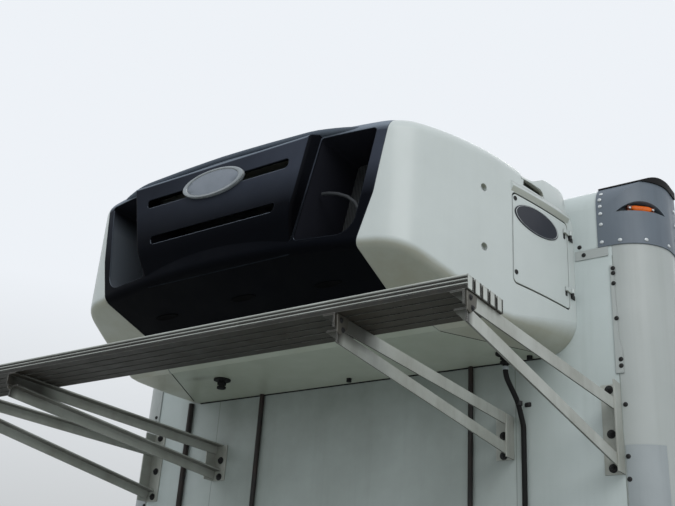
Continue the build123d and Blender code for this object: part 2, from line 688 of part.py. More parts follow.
# Cold-air box behind the wall
box_half = PLUG_HALF + COLD_BOX_LIP
box_low, box_high = UNIT_Z + PLUG_LOW - COLD_BOX_LIP, UNIT_Z + PLUG_HIGH + COLD_BOX_LIP
cold_y, cold_z = WALL_BACK + COLD_BOX_DEPTH, (box_low + box_high) / 2
cold_box = brick((-box_half, box_half), (WALL_BACK, cold_y), (box_low, box_high))
cold_box -= brick((SHEET - box_half, box_half - SHEET), (0, cold_y - SHEET), (box_low + SHEET, box_high - SHEET))
for x in (-COLD_FAN_X, COLD_FAN_X):
    cold_box -= Pos(x, cold_y, cold_z) * Rot(90, 0, 0) * Cylinder(COLD_FAN_R + FAN_CLEAR, 4 * FAN_CLEAR)
for x in RETURN_X:
    cold_box -= brick((x - RETURN_HALF, x + RETURN_HALF),
                      (WALL_BACK + RETURN_INSET[0], cold_y - RETURN_INSET[1]), (0, box_low + 2 * SHEET))
keep("cold_air_box", cold_box)
keep("evaporator_coil", brick((COIL_GAP - PLUG_HALF, PLUG_HALF - COIL_GAP),
                              (WALL_FRONT + COIL_GAP, WALL_BACK + COIL_BACK),
                              (UNIT_Z + PLUG_LOW, UNIT_Z + PLUG_HIGH - COIL_GAP)))
cold_guards = []
motor_low, motor_high = WALL_BACK + COIL_BACK, cold_y - ROTOR_H - MOTOR_BACK
upright = Rot(90, 0, 0)
for side, x in (("left", -COLD_FAN_X), ("right", COLD_FAN_X)):
    motor = Pos(x, (motor_low + motor_high) / 2, cold_z) * upright * Cylinder(HUB_R, motor_high - motor_low)
    keep(f"cold_fan_motor_{side}", motor)
    wheel = Pos(x, motor_high + ROTOR_GAP + ROTOR_H / 2, cold_z) * upright * rotor(COLD_FAN_R)
    keep(f"cold_fan_{side}", wheel)
    ring = Pos(x, cold_y + WIRE / 2, cold_z) * upright * guard(COLD_FAN_R + FAN_CLEAR + GUARD_LAP, COLD_RINGS)
    cold_guards.append(ring)
keep("cold_fan_guards", Compound(children=cold_guards))


# Platform brackets and planks

def angle_bar(y0, z0, y1, z1, x_face):
    """An angle section along a line in the YZ plane, its upright leg's outer face at x_face."""
    length = math.hypot(y1 - y0, z1 - z0)
    tilt = math.degrees(math.atan2(z1 - z0, y1 - y0))
    leg = Pos(-ARM_T / 2, length / 2, -ARM_LEG / 2) * Box(ARM_T, length, ARM_LEG)
    flange = Pos(-ARM_LEG / 2, length / 2, -ARM_T / 2) * Box(ARM_LEG, length, ARM_T)
    return Pos(x_face, y0, z0) * Rot(tilt, 0, 0) * (leg + flange)


arms, struts, angles = [], [], []
behind = brick((-FAR, FAR), (-ARM_T, FAR), (-FAR, FAR))
for x, arm_end, foot, angle_top, angle_foot in BRACKETS:
    face = (x or FLAT_HALF - BRACKET_IN) + ARM_T
    arms.append(angle_bar(-ARM_REACH, ARM_TOP, -ARM_T, arm_end, face) - behind)
    strut = angle_bar(STRUT_INSET - ARM_REACH, ARM_TOP - ARM_LEG - STRUT_GAP, -ARM_T, foot + ARM_LEG, face)
    struts.append(strut - behind)
    leg = brick((face, face + ARM_T), (-ANGLE_LEG, 0), (angle_foot, angle_top))
    plate_leg = brick((face - ANGLE_LEG, face + ARM_T), (-ARM_T, 0), (angle_foot, angle_top))
    angles.append(leg + plate_leg)
for name, pieces in (("platform_arms", arms), ("platform_struts", struts), ("wall_angles", angles)):
    keep(name, at_unit(Compound(children=pieces + [mirrored(p) for p in pieces])))

planks = []
for i in range(PLANK_N):
    y = -PLANK_FRONT + i * PLANK_PITCH
    plank = brick((-PLANK_HALF, PLANK_HALF), (y, y + PLANK_W), (ARM_TOP, ARM_TOP + PLANK_H))
    plank -= brick((-PLANK_HALF, PLANK_HALF), (y + PLANK_WALL, y + PLANK_W - PLANK_WALL),
                   (ARM_TOP + PLANK_WALL, ARM_TOP + PLANK_H - PLANK_WALL))
    planks.append(plank)
for groove in GROOVES:
    z = ARM_TOP + groove * PLANK_H
    planks[0] -= brick((-PLANK_HALF, PLANK_HALF), (-PLANK_FRONT, GROOVE_DEPTH - PLANK_FRONT), (z, z + GROOVE_W))
keep("platform_nosing", at_unit(planks[0]))
keep("platform_planks", at_unit(Compound(children=planks[1:])))

# Drain hose and tubes that run down the wall
route = FilletPolyline(*HOSE, (HOSE[-1][0], HOSE[-1][1], HOSE_END), radius=HOSE_BENDS)
hose = sweep(Plane(route @ 0, z_dir=route % 0) * Circle(HOSE_R), path=route)
keep("drain_hose", at_unit(hose))
tubes = [Pos(x, -r - HOSE_GAP, (HOSE_END - 1) / 2) * Cylinder(r, -HOSE_END - 1) for x, r in TUBES]
keep("drain_tubes", at_unit(Compound(children=tubes)))

for name, shape in parts.items():
    box = shape.bounding_box()
    print(f"{name:22s} {shape.is_valid} {len(shape.solids())} {box.min.X:8.1f} {box.max.X:8.1f} "
          f"{box.min.Y:8.1f} {box.max.Y:8.1f} {box.min.Z:8.1f} {box.max.Z:8.1f}")
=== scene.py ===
"""Looks of a refrigerated truck body's front wall with its nose-mounted cooling unit.

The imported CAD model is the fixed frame. This script gives each of its nodes a procedural
material, adds the fasteners, plates, seals and small parts that the CAD leaves out, and
sets up the floor, the light and the camera. All lengths are metres in the CAD's frame:
X to the right of the truck's front, Y to the rear, Z up, with the floor at zero.
"""

from __future__ import annotations

import json
import logging
import math
from dataclasses import dataclass, field, replace
from enum import Enum
from typing import Iterable, Sequence

import bpy
from bpy.types import ID, Material, Mesh, Node, NodeSocket, NodeTree, Object, World
from mathutils import Matrix, Vector

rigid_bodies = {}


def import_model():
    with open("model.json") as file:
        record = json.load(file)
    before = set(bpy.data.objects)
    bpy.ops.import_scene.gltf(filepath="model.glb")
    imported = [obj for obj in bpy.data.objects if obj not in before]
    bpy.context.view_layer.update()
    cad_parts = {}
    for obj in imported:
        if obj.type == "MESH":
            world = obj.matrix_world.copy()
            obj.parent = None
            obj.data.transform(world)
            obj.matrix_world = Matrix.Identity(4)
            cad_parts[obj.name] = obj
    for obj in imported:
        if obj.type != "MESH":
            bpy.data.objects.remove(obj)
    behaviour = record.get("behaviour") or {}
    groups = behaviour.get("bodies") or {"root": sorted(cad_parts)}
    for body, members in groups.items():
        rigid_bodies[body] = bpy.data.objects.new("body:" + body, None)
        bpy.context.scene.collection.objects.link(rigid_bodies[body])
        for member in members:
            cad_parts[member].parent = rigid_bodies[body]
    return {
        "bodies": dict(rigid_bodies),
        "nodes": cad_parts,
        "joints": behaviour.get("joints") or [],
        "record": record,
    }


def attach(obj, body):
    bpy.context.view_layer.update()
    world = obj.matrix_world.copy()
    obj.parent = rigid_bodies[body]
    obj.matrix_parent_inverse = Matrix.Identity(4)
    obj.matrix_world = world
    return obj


LOG = logging.getLogger("scene")

Pair = tuple[float, float]
Point = tuple[float, float, float]
Row = tuple[float, ...]
Profile = Sequence[Pair]
Spot = tuple[Vector, Vector]

# The cooling unit's own frame has its origin on the wall's front face, level with its belly
UNIT_Y = -0.05
UNIT_Z = 1.7
UP = Vector((0.0, 0.0, 1.0))
FRONT = Vector((0.0, -1.0, 0.0))
RIGHT = Vector((1.0, 0.0, 0.0))

# The platform's planks: middle of the first, distance from one to the next, half length
FIRST_PLANK = -1.1035
PLANK_PITCH = 0.04
PLANK_END = 1.062
# Real fins stand 2 mm apart; drawn 6 mm apart so that they show
FIN_PITCH = 0.006
# Width in metres of one band of a wave texture whose scale is one
WAVE_BAND = 0.314
# CAD edges sharper than this stay sharp, in degrees
SHARP_CAD = 28.0


class Body(Enum):
    """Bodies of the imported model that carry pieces."""

    WALL = "wall"
    DOOR_RIGHT = "door_right"
    DOOR_LEFT = "door_left"


class Slot(Enum):
    """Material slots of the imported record."""

    NOSE = "nose_plastic"
    PLATE = "plate_silver"
    UNIT = "unit_gelcoat"
    WALL = "wall_gelcoat"
    POST = "post_paint"
    CAP = "cap_grey"
    LAMP = "lamp_amber"
    ALUMINIUM = "mill_aluminium"
    RUBBER = "black_rubber"
    BLACK_STEEL = "black_steel"
    FRAME_STEEL = "frame_steel"
    ENGINE = "engine_iron"
    FINS = "coil_fins"
    FAN = "fan_plastic"
    BOX = "box_plastic"


@dataclass(frozen=True)
class SideArc:
    """The upright cylinder that the unit's right side lies on."""

    radius: float = 2.55778
    axis_x: float = -1.61713
    axis_y: float = 0.30836

    def spot(self, y: float, z: float, out: float = 0.0) -> Spot:
        """Find a point on the side and the side's normal there.

        Args:
            y: Distance behind the wall's front face, negative to the front.
            z: Height above the belly.
            out: Distance of the point out of the surface.

        Returns:
            The point and the unit normal.
        """
        depth = y - self.axis_y
        across = math.sqrt(self.radius**2 - depth**2)
        normal = Vector((across, depth, 0.0)).normalized()
        return at_unit(self.axis_x + across, y, z) + out * normal, normal


@dataclass(frozen=True)
class CornerArc:
    """The upright cylinder of the body's right corner."""

    axis_x: float = 1.059
    axis_y: float = 0.11
    post_radius: float = 0.16
    cap_radius: float = 0.1643

    def spot(self, degrees: float, z: float, radius: float) -> Spot:
        """Find a point on a cylinder about the corner's axis and the normal there.

        Args:
            degrees: Angle from straight ahead, positive outward.
            z: Height above the floor.
            radius: Distance from the axis.

        Returns:
            The point and the unit normal.
        """
        turn = math.radians(degrees)
        normal = Vector((math.sin(turn), -math.cos(turn), 0.0))
        return Vector((self.axis_x, self.axis_y, z)) + radius * normal, normal


SIDE = SideArc()
CORNER = CornerArc()


def at_unit(x: float, y: float, z: float) -> Vector:
    """Move a point from the cooling unit's frame to the model's.

    Args:
        x: Across the truck.
        y: Behind the wall's front face, negative to the front.
        z: Above the belly.

    Returns:
        The point in the model's frame.
    """
    return Vector((x, y + UNIT_Y, z + UNIT_Z))


def mirrored(point: Vector) -> Vector:
    """Mirror a point or direction across the truck's centre plane.

    Args:
        point: The point or direction.

    Returns:
        Its mirror image.
    """
    return Vector((-point.x, point.y, point.z))


def both(spots: Iterable[Spot]) -> list[Spot]:
    """Add the mirror image of each spot.

    Args:
        spots: Point and normal of each on the right.

    Returns:
        The spots on both sides.
    """
    right = list(spots)
    return right + [(mirrored(p), mirrored(n)) for p, n in right]


def placed(point: Vector, normal: Vector, spin: float = 0.0) -> Matrix:
    """Make a placement whose Z axis points along a normal.

    Args:
        point: The origin.
        normal: Direction of the local Z axis.
        spin: Turn about that axis, in radians.

    Returns:
        The placement matrix.
    """
    turn = normal.to_track_quat("Z", "Y").to_matrix().to_4x4()
    return Matrix.Translation(point) @ turn @ Matrix.Rotation(spin, 4, "Z")


def linear(code: str) -> tuple[float, float, float, float]:
    """Turn a hex sRGB colour into the linear colour that shaders use.

    Args:
        code: Six hex digits after a hash sign.

    Returns:
        Red, green, blue and alpha.
    """
    parts = [int(code[i : i + 2], 16) / 255 for i in (1, 3, 5)]
    flat = [c / 12.92 if c <= 0.04045 else ((c + 0.055) / 1.055) ** 2.4 for c in parts]
    return flat[0], flat[1], flat[2], 1.0


def add(tree: NodeTree, kind: str, settings: dict | None = None, **inputs: object) -> Node:
    """Add one node with its settings and links.

    Args:
        tree: The tree it goes into.
        kind: Blender's name of the node type.
        settings: Properties of the node.
        **inputs: Value, node or socket for each input, by the input's name with spaces as
            underscores, or by its number after an n. A node gives its first output.

    Returns:
        The new node.
    """
    node = tree.nodes.new(kind)
    for name, value in (settings or {}).items():
        setattr(node, name, value)
    for name, value in inputs.items():
        if name[1:].isdigit():
            target = node.inputs[int(name[1:])]
        else:
            target = next(s for s in node.inputs if s.enabled and s.name == name.replace("_", " "))
        if isinstance(value, Node):
            value = next(s for s in value.outputs if s.enabled)
        if isinstance(value, NodeSocket):
            tree.links.new(value, target)
        else:
            target.default_value = value
    return node


def cleared(block: Material | World) -> NodeTree:
    """Switch a material or world to nodes and empty its tree.

    Args:
        block: The material or world.

    Returns:
        Its node tree.
    """
    block.use_nodes = True
    block.node_tree.nodes.clear()
    return block.node_tree


def linked(name: str, data: ID) -> Object:
    """Put a new object into the scene.

    Args:
        name: Its name.
        data: Its mesh, light or camera.

    Returns:
        The object.
    """
    made = bpy.data.objects.new(name, data)
    bpy.context.scene.collection.objects.link(made)
    return made


class Along(Enum):
    """What a graded mask follows."""

    X = "place, X"
    Y = "place, Y"
    Z = "place, Z"
    ACROSS = "distance from the centre plane"
    PLANK = "distance from the middle of the nearest plank"
    FINS = "height of the fins"
    SKYWARD = "upward part of the normal"
    STEEP = "upward or downward part of the normal"
    SIDEWAYS = "sideways part of the normal"


@dataclass(frozen=True)
class Grade:
    """A mask that changes steadily between two values of what it follows."""

    along: Along
    start: float
    end: float
    least: float = 0.0
    most: float = 1.0


@dataclass(frozen=True)
class Patches:
    """A soft random mask, in so many patches a metre, from the noise's low to its high value."""

    scale: float
    low: float
    high: float
    least: float = 0.0
    most: float = 1.0
    stretch: Point = (1.0, 1.0, 1.0)


@dataclass(frozen=True)
class Splash:
    """A mask that fades outward from its middle."""

    middle: Point
    reach: Point
    most: float


Mask = Grade | Patches | Splash | Node


@dataclass(frozen=True)
class Stain:
    """A colour that shows where all of its masks overlap."""

    colour: str
    masks: tuple[Mask, ...]


UPRIGHT = Grade(Along.STEEP, 0.2, 0.75, 1.0, 0.0)
# Downward faces, where road film and painted shade go
UNDERSIDE = Grade(Along.SKYWARD, -0.15, -0.6)
EDGE_PATCHES = Patches(30.0, 0.3, 0.6, 0.4)
# Rain runs are long and thin
RUN_STRETCH = (19.0, 19.0, 0.9)


@dataclass(frozen=True)
class Finish:
    """What a real surface is made of, how it was made, how it has aged, and the light and shade painted on it."""

    slot: Slot
    name: str
    colour: str
    drift_to: str
    roughness: float
    metallic: float = 0.0
    coat: float = 0.0
    specular: float = 0.5
    drift: float = 0.6
    drift_scale: float = 2.5
    grain: float = 0.1
    grain_scale: float = 260.0
    grain_stretch: Point = (1.0, 1.0, 1.0)
    finned: bool = False
    edge: float = 0.0025
    edge_wear_and_highlight: str = "#ffffff"
    highlight_and_wear_share: float = 0.0
    dirt: str = "#4c4a3f"
    streaks: float = 0.0
    underside_film_and_shade: str = "#59625c"
    under: float = 0.0
    stains: tuple[Stain, ...] = ()


class Surface:
    """Builds one procedural material from a finish."""

    # The fade of a splash, in reaches from its middle
    SPLASH_FADE = (1.2, 0.1)
    # Cosine between the softened and the true normal where edge wear and painted edge highlights start and where they
    # are full
    EDGE_WEAR_AND_HIGHLIGHT = (0.97, 0.82)
    # Rain runs are this much rougher than the rest
    RUN_ROUGHNESS = 0.4
    GRAIN_HEIGHT = 0.0006
    COAT_ROUGHNESS = 0.2
    NOISE = {"Detail": 5.0, "Roughness": 0.6}

    def __init__(self, finish: Finish) -> None:
        """Build the material.

        Args:
            finish: What the surface is.
        """
        self.finish = finish
        self.block = bpy.data.materials.new(finish.name)
        self.tree = cleared(self.block)
        self.coords = add(self.tree, "ShaderNodeTexCoord").outputs["Object"]
        self.place = add(self.tree, "ShaderNodeSeparateXYZ", Vector=self.coords).outputs
        self.normal = add(self.tree, "ShaderNodeNewGeometry").outputs["Normal"]
        self.facing = add(self.tree, "ShaderNodeSeparateXYZ", Vector=self.normal).outputs
        self.build()

    def follow(self, along: Along) -> object:
        """Measure what a graded mask follows.

        Args:
            along: What that is.

        Returns:
            The node or socket that gives it.
        """
        place, facing, tree = self.place, self.facing, self.tree
        plain = {Along.X: place["X"], Along.Y: place["Y"], Along.Z: place["Z"], Along.SKYWARD: facing["Z"]}
        if along in plain:
            return plain[along]
        if along is Along.PLANK:
            depth = add(tree, "ShaderNodeMath", {"operation": "SUBTRACT"}, n0=place["Y"], n1=FIRST_PLANK)
            return add(tree, "ShaderNodeMath", {"operation": "PINGPONG"}, n0=depth, n1=PLANK_PITCH / 2)
        if along is Along.FINS:
            return add(tree, "ShaderNodeTexWave", {"bands_direction": "X"}, Vector=self.coords,
                       Scale=WAVE_BAND / FIN_PITCH)
        signed = {Along.ACROSS: place["X"], Along.SIDEWAYS: facing["X"], Along.STEEP: facing["Z"]}
        return add(tree, "ShaderNodeMath", {"operation": "ABSOLUTE"}, n0=signed[along])

    def draw(self, mask: Mask) -> Node:
        """Draw a mask over the surface.

        Args:
            mask: The mask's shape, or a mask that is drawn already.

        Returns:
            The node that gives it.
        """
        if isinstance(mask, Node):
            return mask
        if isinstance(mask, Grade):
            source, start, end, least = self.follow(mask.along), mask.start, mask.end, mask.least
        elif isinstance(mask, Splash):
            away = add(self.tree, "ShaderNodeMapping", Vector=self.coords,
                       Location=tuple(-c / r for c, r in zip(mask.middle, mask.reach)),
                       Scale=tuple(1 / r for r in mask.reach))
            far = add(self.tree, "ShaderNodeVectorMath", {"operation": "LENGTH"}, n0=away)
            source, (start, end), least = far.outputs["Value"], self.SPLASH_FADE, 0.0
        else:
            mapping = add(self.tree, "ShaderNodeMapping", Vector=self.coords, Scale=mask.stretch)
            source = add(self.tree, "ShaderNodeTexNoise", Vector=mapping, Scale=mask.scale, **self.NOISE)
            start, end, least = mask.low, mask.high, mask.least
        return add(self.tree, "ShaderNodeMapRange", n0=source, n1=start, n2=end, n3=least, n4=mask.most)

    def stain(self, colour: object, code: str, *masks: Mask) -> Node:
        """Lay a stain over the colour so far, where all of its masks overlap.

        Args:
            colour: The colour so far.
            code: The stain's hex colour.
            *masks: The masks.

        Returns:
            The node that gives the stained colour.
        """
        share, *others = [self.draw(mask) for mask in masks]
        for other in others:
            share = add(self.tree, "ShaderNodeMath", {"operation": "MULTIPLY"}, n0=share, n1=other)
        return add(self.tree, "ShaderNodeMix", {"data_type": "RGBA"}, Factor=share, A=colour, B=linear(code))

    def build(self) -> None:
        """Wire colour, drift, stains, rain streaks, road film with painted shade on undersides, worn edges with painted
        edge highlights, and grain.
        """
        f, tree, (fresh, full) = self.finish, self.tree, self.EDGE_WEAR_AND_HIGHLIGHT
        colour = self.stain(linear(f.colour), f.drift_to, Patches(f.drift_scale, 0.35, 0.68, most=f.drift))
        for stain in f.stains:
            colour = self.stain(colour, stain.colour, *stain.masks)
        runs = self.draw(Patches(1.0, 0.5, 0.8, most=f.streaks, stretch=RUN_STRETCH))
        colour = self.stain(colour, f.dirt, runs, UPRIGHT)
        # Undersides: road film mixed with painted shade and painted reflection of the ground
        colour = self.stain(colour, f.underside_film_and_shade, UNDERSIDE, Patches(5.0, 0.25, 0.7, 0.6 * f.under, f.under))
        soft = add(tree, "ShaderNodeBevel", {"samples": 4}, Radius=f.edge)
        turn = add(tree, "ShaderNodeVectorMath", {"operation": "DOT_PRODUCT"}, n0=soft, n1=self.normal)
        edges = add(tree, "ShaderNodeMapRange", n0=turn.outputs["Value"], n1=fresh, n2=full, n3=0.0, n4=f.highlight_and_wear_share)
        colour = self.stain(colour, f.edge_wear_and_highlight, edges, EDGE_PATCHES)
        rough = self.draw(Patches(9.0, 0.3, 0.7, f.roughness - 0.05, min(1.0, f.roughness + 0.07)))
        rough = add(tree, "ShaderNodeMath", {"operation": "MULTIPLY_ADD", "use_clamp": True}, n0=runs,
                    n1=self.RUN_ROUGHNESS, n2=rough)
        height = self.follow(Along.FINS) if f.finned else self.draw(
            Patches(f.grain_scale, 0.3, 0.7, stretch=f.grain_stretch))
        bump = add(tree, "ShaderNodeBump", Strength=f.grain, Distance=self.GRAIN_HEIGHT, Height=height, Normal=soft)
        shader = add(tree, "ShaderNodeBsdfPrincipled", Base_Color=colour, Roughness=rough, Metallic=f.metallic,
                     Coat_Weight=f.coat, Coat_Roughness=self.COAT_ROUGHNESS, Specular_IOR_Level=f.specular, Normal=bump)
        add(tree, "ShaderNodeOutputMaterial", Surface=shader)


# Sun fading mixed with painted sky sheen: the nose is painted lighter toward its top and its right, and on upward faces
FADED_AND_SHEEN_NOSE = (
    Stain("#3a3f4a", (
        Grade(Along.Z, UNIT_Z + 0.31, UNIT_Z + 0.43), Grade(Along.X, -0.3, 0.35, 0.35), Patches(4.0, 0.2, 0.7, 0.7))),
    # The raised field's flanks are painted near-black as shade
    Stain("#030305", (Grade(Along.SIDEWAYS, 0.3, 0.5, most=0.9), Grade(Along.ACROSS, 0.5, 0.46))),
    Stain("#79828d", (Grade(Along.SKYWARD, 0.0, 0.4, most=0.95),)))
# Road dirt lies on the ledges beside the doors
DIRTY_LEDGES = (Stain("#4f524d", (
    Grade(Along.ACROSS, 0.82, 0.86), Grade(Along.Z, UNIT_Z + 0.575, UNIT_Z + 0.565),
    Grade(Along.SKYWARD, 0.3, 0.7, most=0.75))),)
BELOW_UNIT = Grade(Along.Z, 1.72, 1.7)
SOOTY_AND_SHADED_WALL = (
    # A joint on each side between the wall's panels
    Stain("#5b625c", (Grade(Along.ACROSS, 0.6872, 0.6888), Grade(Along.ACROSS, 0.6912, 0.6928, 0.5, 0.0))),
    # Painted shadow of the unit on the wall below it, darkest just under the unit and toward the middle, mixed with
    # grime
    Stain("#555b50", (Grade(Along.Z, 0.85, 1.66, 0.15, 0.75), BELOW_UNIT, Grade(Along.ACROSS, 0.92, 0.62),
                      Patches(3.0, 0.25, 0.7, 0.6))),
    Stain("#3b3d35", (Patches(85.0, 0.72, 0.76, most=0.8), Patches(2.0, 0.4, 0.6), BELOW_UNIT)))
# The post takes the cap's grey inside the lamp pocket
GREY_POCKET = (Stain("#5b646c", (Grade(Along.Z, 2.0799, 2.0801),)),)
# Painted shade in the gaps between the fins
FIN_GAP_SHADE = (Stain("#121212", (Grade(Along.FINS, 0.2, 0.6, 0.85, 0.0),)),)
# Daylight reaches the outer walls of the air openings, below their top
LIT_DUCT = (Stain("#565c63", (Grade(Along.ACROSS, 0.46, 0.52), Grade(Along.Z, 2.23, 2.14))),)
# An oily smear beside the left drain, and painted shade toward the left
SMEARED_AND_SHADED_BELLY = (
    Stain("#22231e", (Splash((-0.535, -0.345, UNIT_Z), (0.085, 0.03, 0.05), 0.85), Patches(25.0, 0.3, 0.6, 0.5))),
    Stain("#4c4f42", (Grade(Along.X, 0.3, -0.7, most=0.35),)))
# Oily dirt and painted shade in the gaps between the planks, on their ends and under them, darker on the left
PLANK_LOW = Grade(Along.SKYWARD, -0.3, -0.7, most=0.92)
OILY_AND_SHADED_PLANKS = (
    Stain("#14120e", (Grade(Along.PLANK, 0.0105, 0.0135, most=0.95), Grade(Along.Z, 1.556, 1.55))),
    Stain("#1c1b18", (Grade(Along.SIDEWAYS, 0.5, 0.8, most=0.9),)),
    Stain("#2c251a", (PLANK_LOW,)),
    Stain("#0f0d08", (PLANK_LOW, Grade(Along.X, 0.8, 0.1, 0.2, 0.95))))
# The same dirt and painted shade where planks and nosing shelter the brackets
OILY_AND_SHADED_BRACKETS = (
    Stain("#1b1915", (Grade(Along.Y, -1.075, -1.1, most=0.9),)),
    Stain("#2a2721", (
        Grade(Along.ACROSS, 0.9, 0.8), Grade(Along.Y, -0.9, -0.98, most=0.8), Grade(Along.Z, 1.45, 1.48))))

# Each finish starts from its real material and how that was made
# Moulded polypropylene dyed black, with a pebbled grain: satin, no clear reflections
# Its lighter edges are painted highlights on the slots' lips and the openings' rims
NOSE = Finish(
    Slot.NOSE, "polypropylene_pebbled", "#05070d", "#070a11", 0.55, specular=0.03, grain=0.2, grain_scale=420.0,
    edge_wear_and_highlight="#3f454e", highlight_and_wear_share=0.5, dirt="#1c1e22", streaks=0.05, under=0.6, underside_film_and_shade="#040405", edge=0.005,
    stains=FADED_AND_SHEEN_NOSE)
# Pressed aluminium under clear lacquer, chalked: soft silver with a slight grain
PLATE = Finish(
    Slot.PLATE, "aluminium_lacquered", "#8f9599", "#7c8387", 0.4, metallic=0.4, drift_scale=14.0, grain=0.12,
    edge_wear_and_highlight="#d8dad6", highlight_and_wear_share=0.6, dirt="#5f6260", streaks=0.1, edge=0.003)
# White gelcoat on glass-fibre laminate, polished in the mould and chalked: even, with soft sheen
UNIT = Finish(
    Slot.UNIT, "gelcoat_moulded", "#b9c0be", "#b0b7b5", 0.38, coat=0.12, drift=0.8, grain=0.05, grain_scale=40.0,
    edge_wear_and_highlight="#cfd5d4", highlight_and_wear_share=0.3, dirt="#83857d", streaks=0.05, under=0.85, underside_film_and_shade="#8d8b76", edge=0.004,
    stains=DIRTY_LEDGES)
# White gelcoat on flat sandwich panel: rain streaks, road film and painted shade on its undersides
WALL = Finish(
    Slot.WALL, "gelcoat_panel", "#b9c2c1", "#a9b3b1", 0.42, coat=0.08, drift=0.9, drift_scale=1.6, grain=0.06,
    grain_scale=30.0, dirt="#666b62", streaks=0.15, under=0.5, stains=SOOTY_AND_SHADED_WALL)
# Extruded aluminium post, powder coated white: fine orange peel
POST = Finish(
    Slot.POST, "powder_coat_white", "#a2a7a5", "#969c9a", 0.42, coat=0.05, grain=0.12, grain_scale=500.0,
    edge_wear_and_highlight="#8e9494", highlight_and_wear_share=0.2, dirt="#6a6f66", streaks=0.16, stains=GREY_POCKET)
# Cast cap under matt grey paint, scuffed on its edges
CAP = Finish(
    Slot.CAP, "cast_paint_grey", "#5c6670", "#525b64", 0.5, grain=0.2, grain_scale=240.0, edge_wear_and_highlight="#9aa3aa", highlight_and_wear_share=0.55,
    dirt="#3c4044", streaks=0.22)
# Injection-moulded acrylic housing, deep red-brown in shade
LAMP = Finish(
    Slot.LAMP, "acrylic_housing", "#7a3512", "#5c2810", 0.3, coat=0.3, drift_scale=20.0, grain=0.0, dirt="#1c1512",
    streaks=0.2, edge=0.002)
# Extruded mill aluminium, oxidised grey, with die lines along its length, and road film with painted shade on its
# undersides
ALUMINIUM = Finish(
    Slot.ALUMINIUM, "aluminium_mill", "#a9aca6", "#92948c", 0.5, metallic=0.3, drift_scale=6.0, drift=0.9, grain=0.25,
    grain_scale=160.0, grain_stretch=(1.0, 0.03, 1.0), edge_wear_and_highlight="#cfd1cb", highlight_and_wear_share=0.6, dirt="#5a544a",
    streaks=0.2, under=0.85, underside_film_and_shade="#37322a", edge=0.0015)
# Moulded and extruded rubber, matt and dusty
RUBBER = Finish(
    Slot.RUBBER, "rubber_black", "#0d0d0e", "#191919", 0.75, drift_scale=20.0, grain=0.25, dirt="#2e2c28", streaks=0.12,
    edge=0.0015, specular=0.25)
# Steel under black paint, rust at its edges
BLACK_STEEL = Finish(
    Slot.BLACK_STEEL, "steel_black_paint", "#121314", "#1c1d1f", 0.5, drift_scale=18.0, grain=0.15, edge_wear_and_highlight="#5d4636",
    highlight_and_wear_share=0.25, streaks=0.12, edge=0.001, specular=0.35)
# Folded steel under grey paint
FRAME_STEEL = Finish(
    Slot.FRAME_STEEL, "steel_grey_paint", "#4d5154", "#404346", 0.5, grain=0.2, edge_wear_and_highlight="#7a5a44", highlight_and_wear_share=0.3, streaks=0.2)
# Cast iron under grey engine enamel, oily
ENGINE = Finish(
    Slot.ENGINE, "cast_iron_enamel", "#3c3f42", "#2b2d2f", 0.5, drift_scale=8.0, grain=0.5, grain_scale=120.0,
    edge_wear_and_highlight="#5d5148", highlight_and_wear_share=0.3, dirt="#15130f", streaks=0.5)
# Rolled aluminium fins on copper tube, dusty
FINS = Finish(
    Slot.FINS, "aluminium_fins", "#5d6062", "#45484a", 0.5, metallic=0.5, drift_scale=10.0, grain=1.0, dirt="#2b2924",
    streaks=0.3, finned=True, stains=FIN_GAP_SHADE)
# Glass-filled nylon, black
FAN = Finish(
    Slot.FAN, "nylon_black", "#121213", "#1c1c1d", 0.5, drift_scale=20.0, grain=0.2, dirt="#3c3a35", streaks=0.15)
# Vacuum-formed ABS sheet, off-white, faintly leathery
BOX = Finish(
    Slot.BOX, "abs_sheet_white", "#c2c6c4", "#b6bab8", 0.4, grain=0.15, grain_scale=340.0, dirt="#7a7a70",
    streaks=0.08)

BASES = {f.slot: f for f in (NOSE, PLATE, UNIT, WALL, POST, CAP, LAMP, ALUMINIUM, RUBBER, BLACK_STEEL, FRAME_STEEL,
                             ENGINE, FINS, FAN, BOX)}

# Planks and nosing are the brackets' metal, with the die lines along the truck's width
PLANKS = replace(ALUMINIUM, name="aluminium_mill_planks", grain_stretch=(0.03, 1.0, 1.0), under=0.6,
                 underside_film_and_shade="#2c2720", specular=0.2, metallic=0.15, stains=OILY_AND_SHADED_PLANKS)
BRACKETS = replace(ALUMINIUM, name="aluminium_mill_brackets", stains=OILY_AND_SHADED_BRACKETS)
DUCTS = replace(NOSE, name="polypropylene_duct", colour="#1e1f25", drift_to="#24252b", under=0.0, highlight_and_wear_share=0.0,
                stains=LIT_DUCT)
# The nose's rolled upper rim, painted light as a highlight and where the sun has bleached it most
FADED_AND_HIGHLIT_RIM = replace(NOSE, name="polypropylene_faded_highlit", colour="#565e68", drift_to="#484f58", under=0.0, stains=())
# Near-black plugs, darker than the nose, paint the shade of three oval hollows under it
SHADE_DARK_PLUGS = replace(RUBBER, name="rubber_plug_painted_shade", colour="#020203", drift_to="#040405", specular=0.05, streaks=0.0)
# The belly's greener grey is partly painted reflection of the ground below
BELLY = replace(UNIT, name="gelcoat_belly", colour="#b0b6ac", drift_to="#9ba195", under=0.7, underside_film_and_shade="#8f9585",
                stains=SMEARED_AND_SHADED_BELLY)
# Bright dome of an aluminium blind rivet, with painted shade on its underside
RIVET = replace(PLATE, name="aluminium_rivet", colour="#c9ced0", drift_to="#b3b8ba", metallic=0.25, roughness=0.3,
                under=0.7, underside_film_and_shade="#4a4d4f")
# Dark enamel baked on a pressed plate
DARK_ENAMEL = replace(CAP, name="enamel_slate", colour="#20232c", drift_to="#1b1e27", roughness=0.4, coat=0.1,
                      specular=0.25, grain=0.04, highlight_and_wear_share=0.0, streaks=0.05)
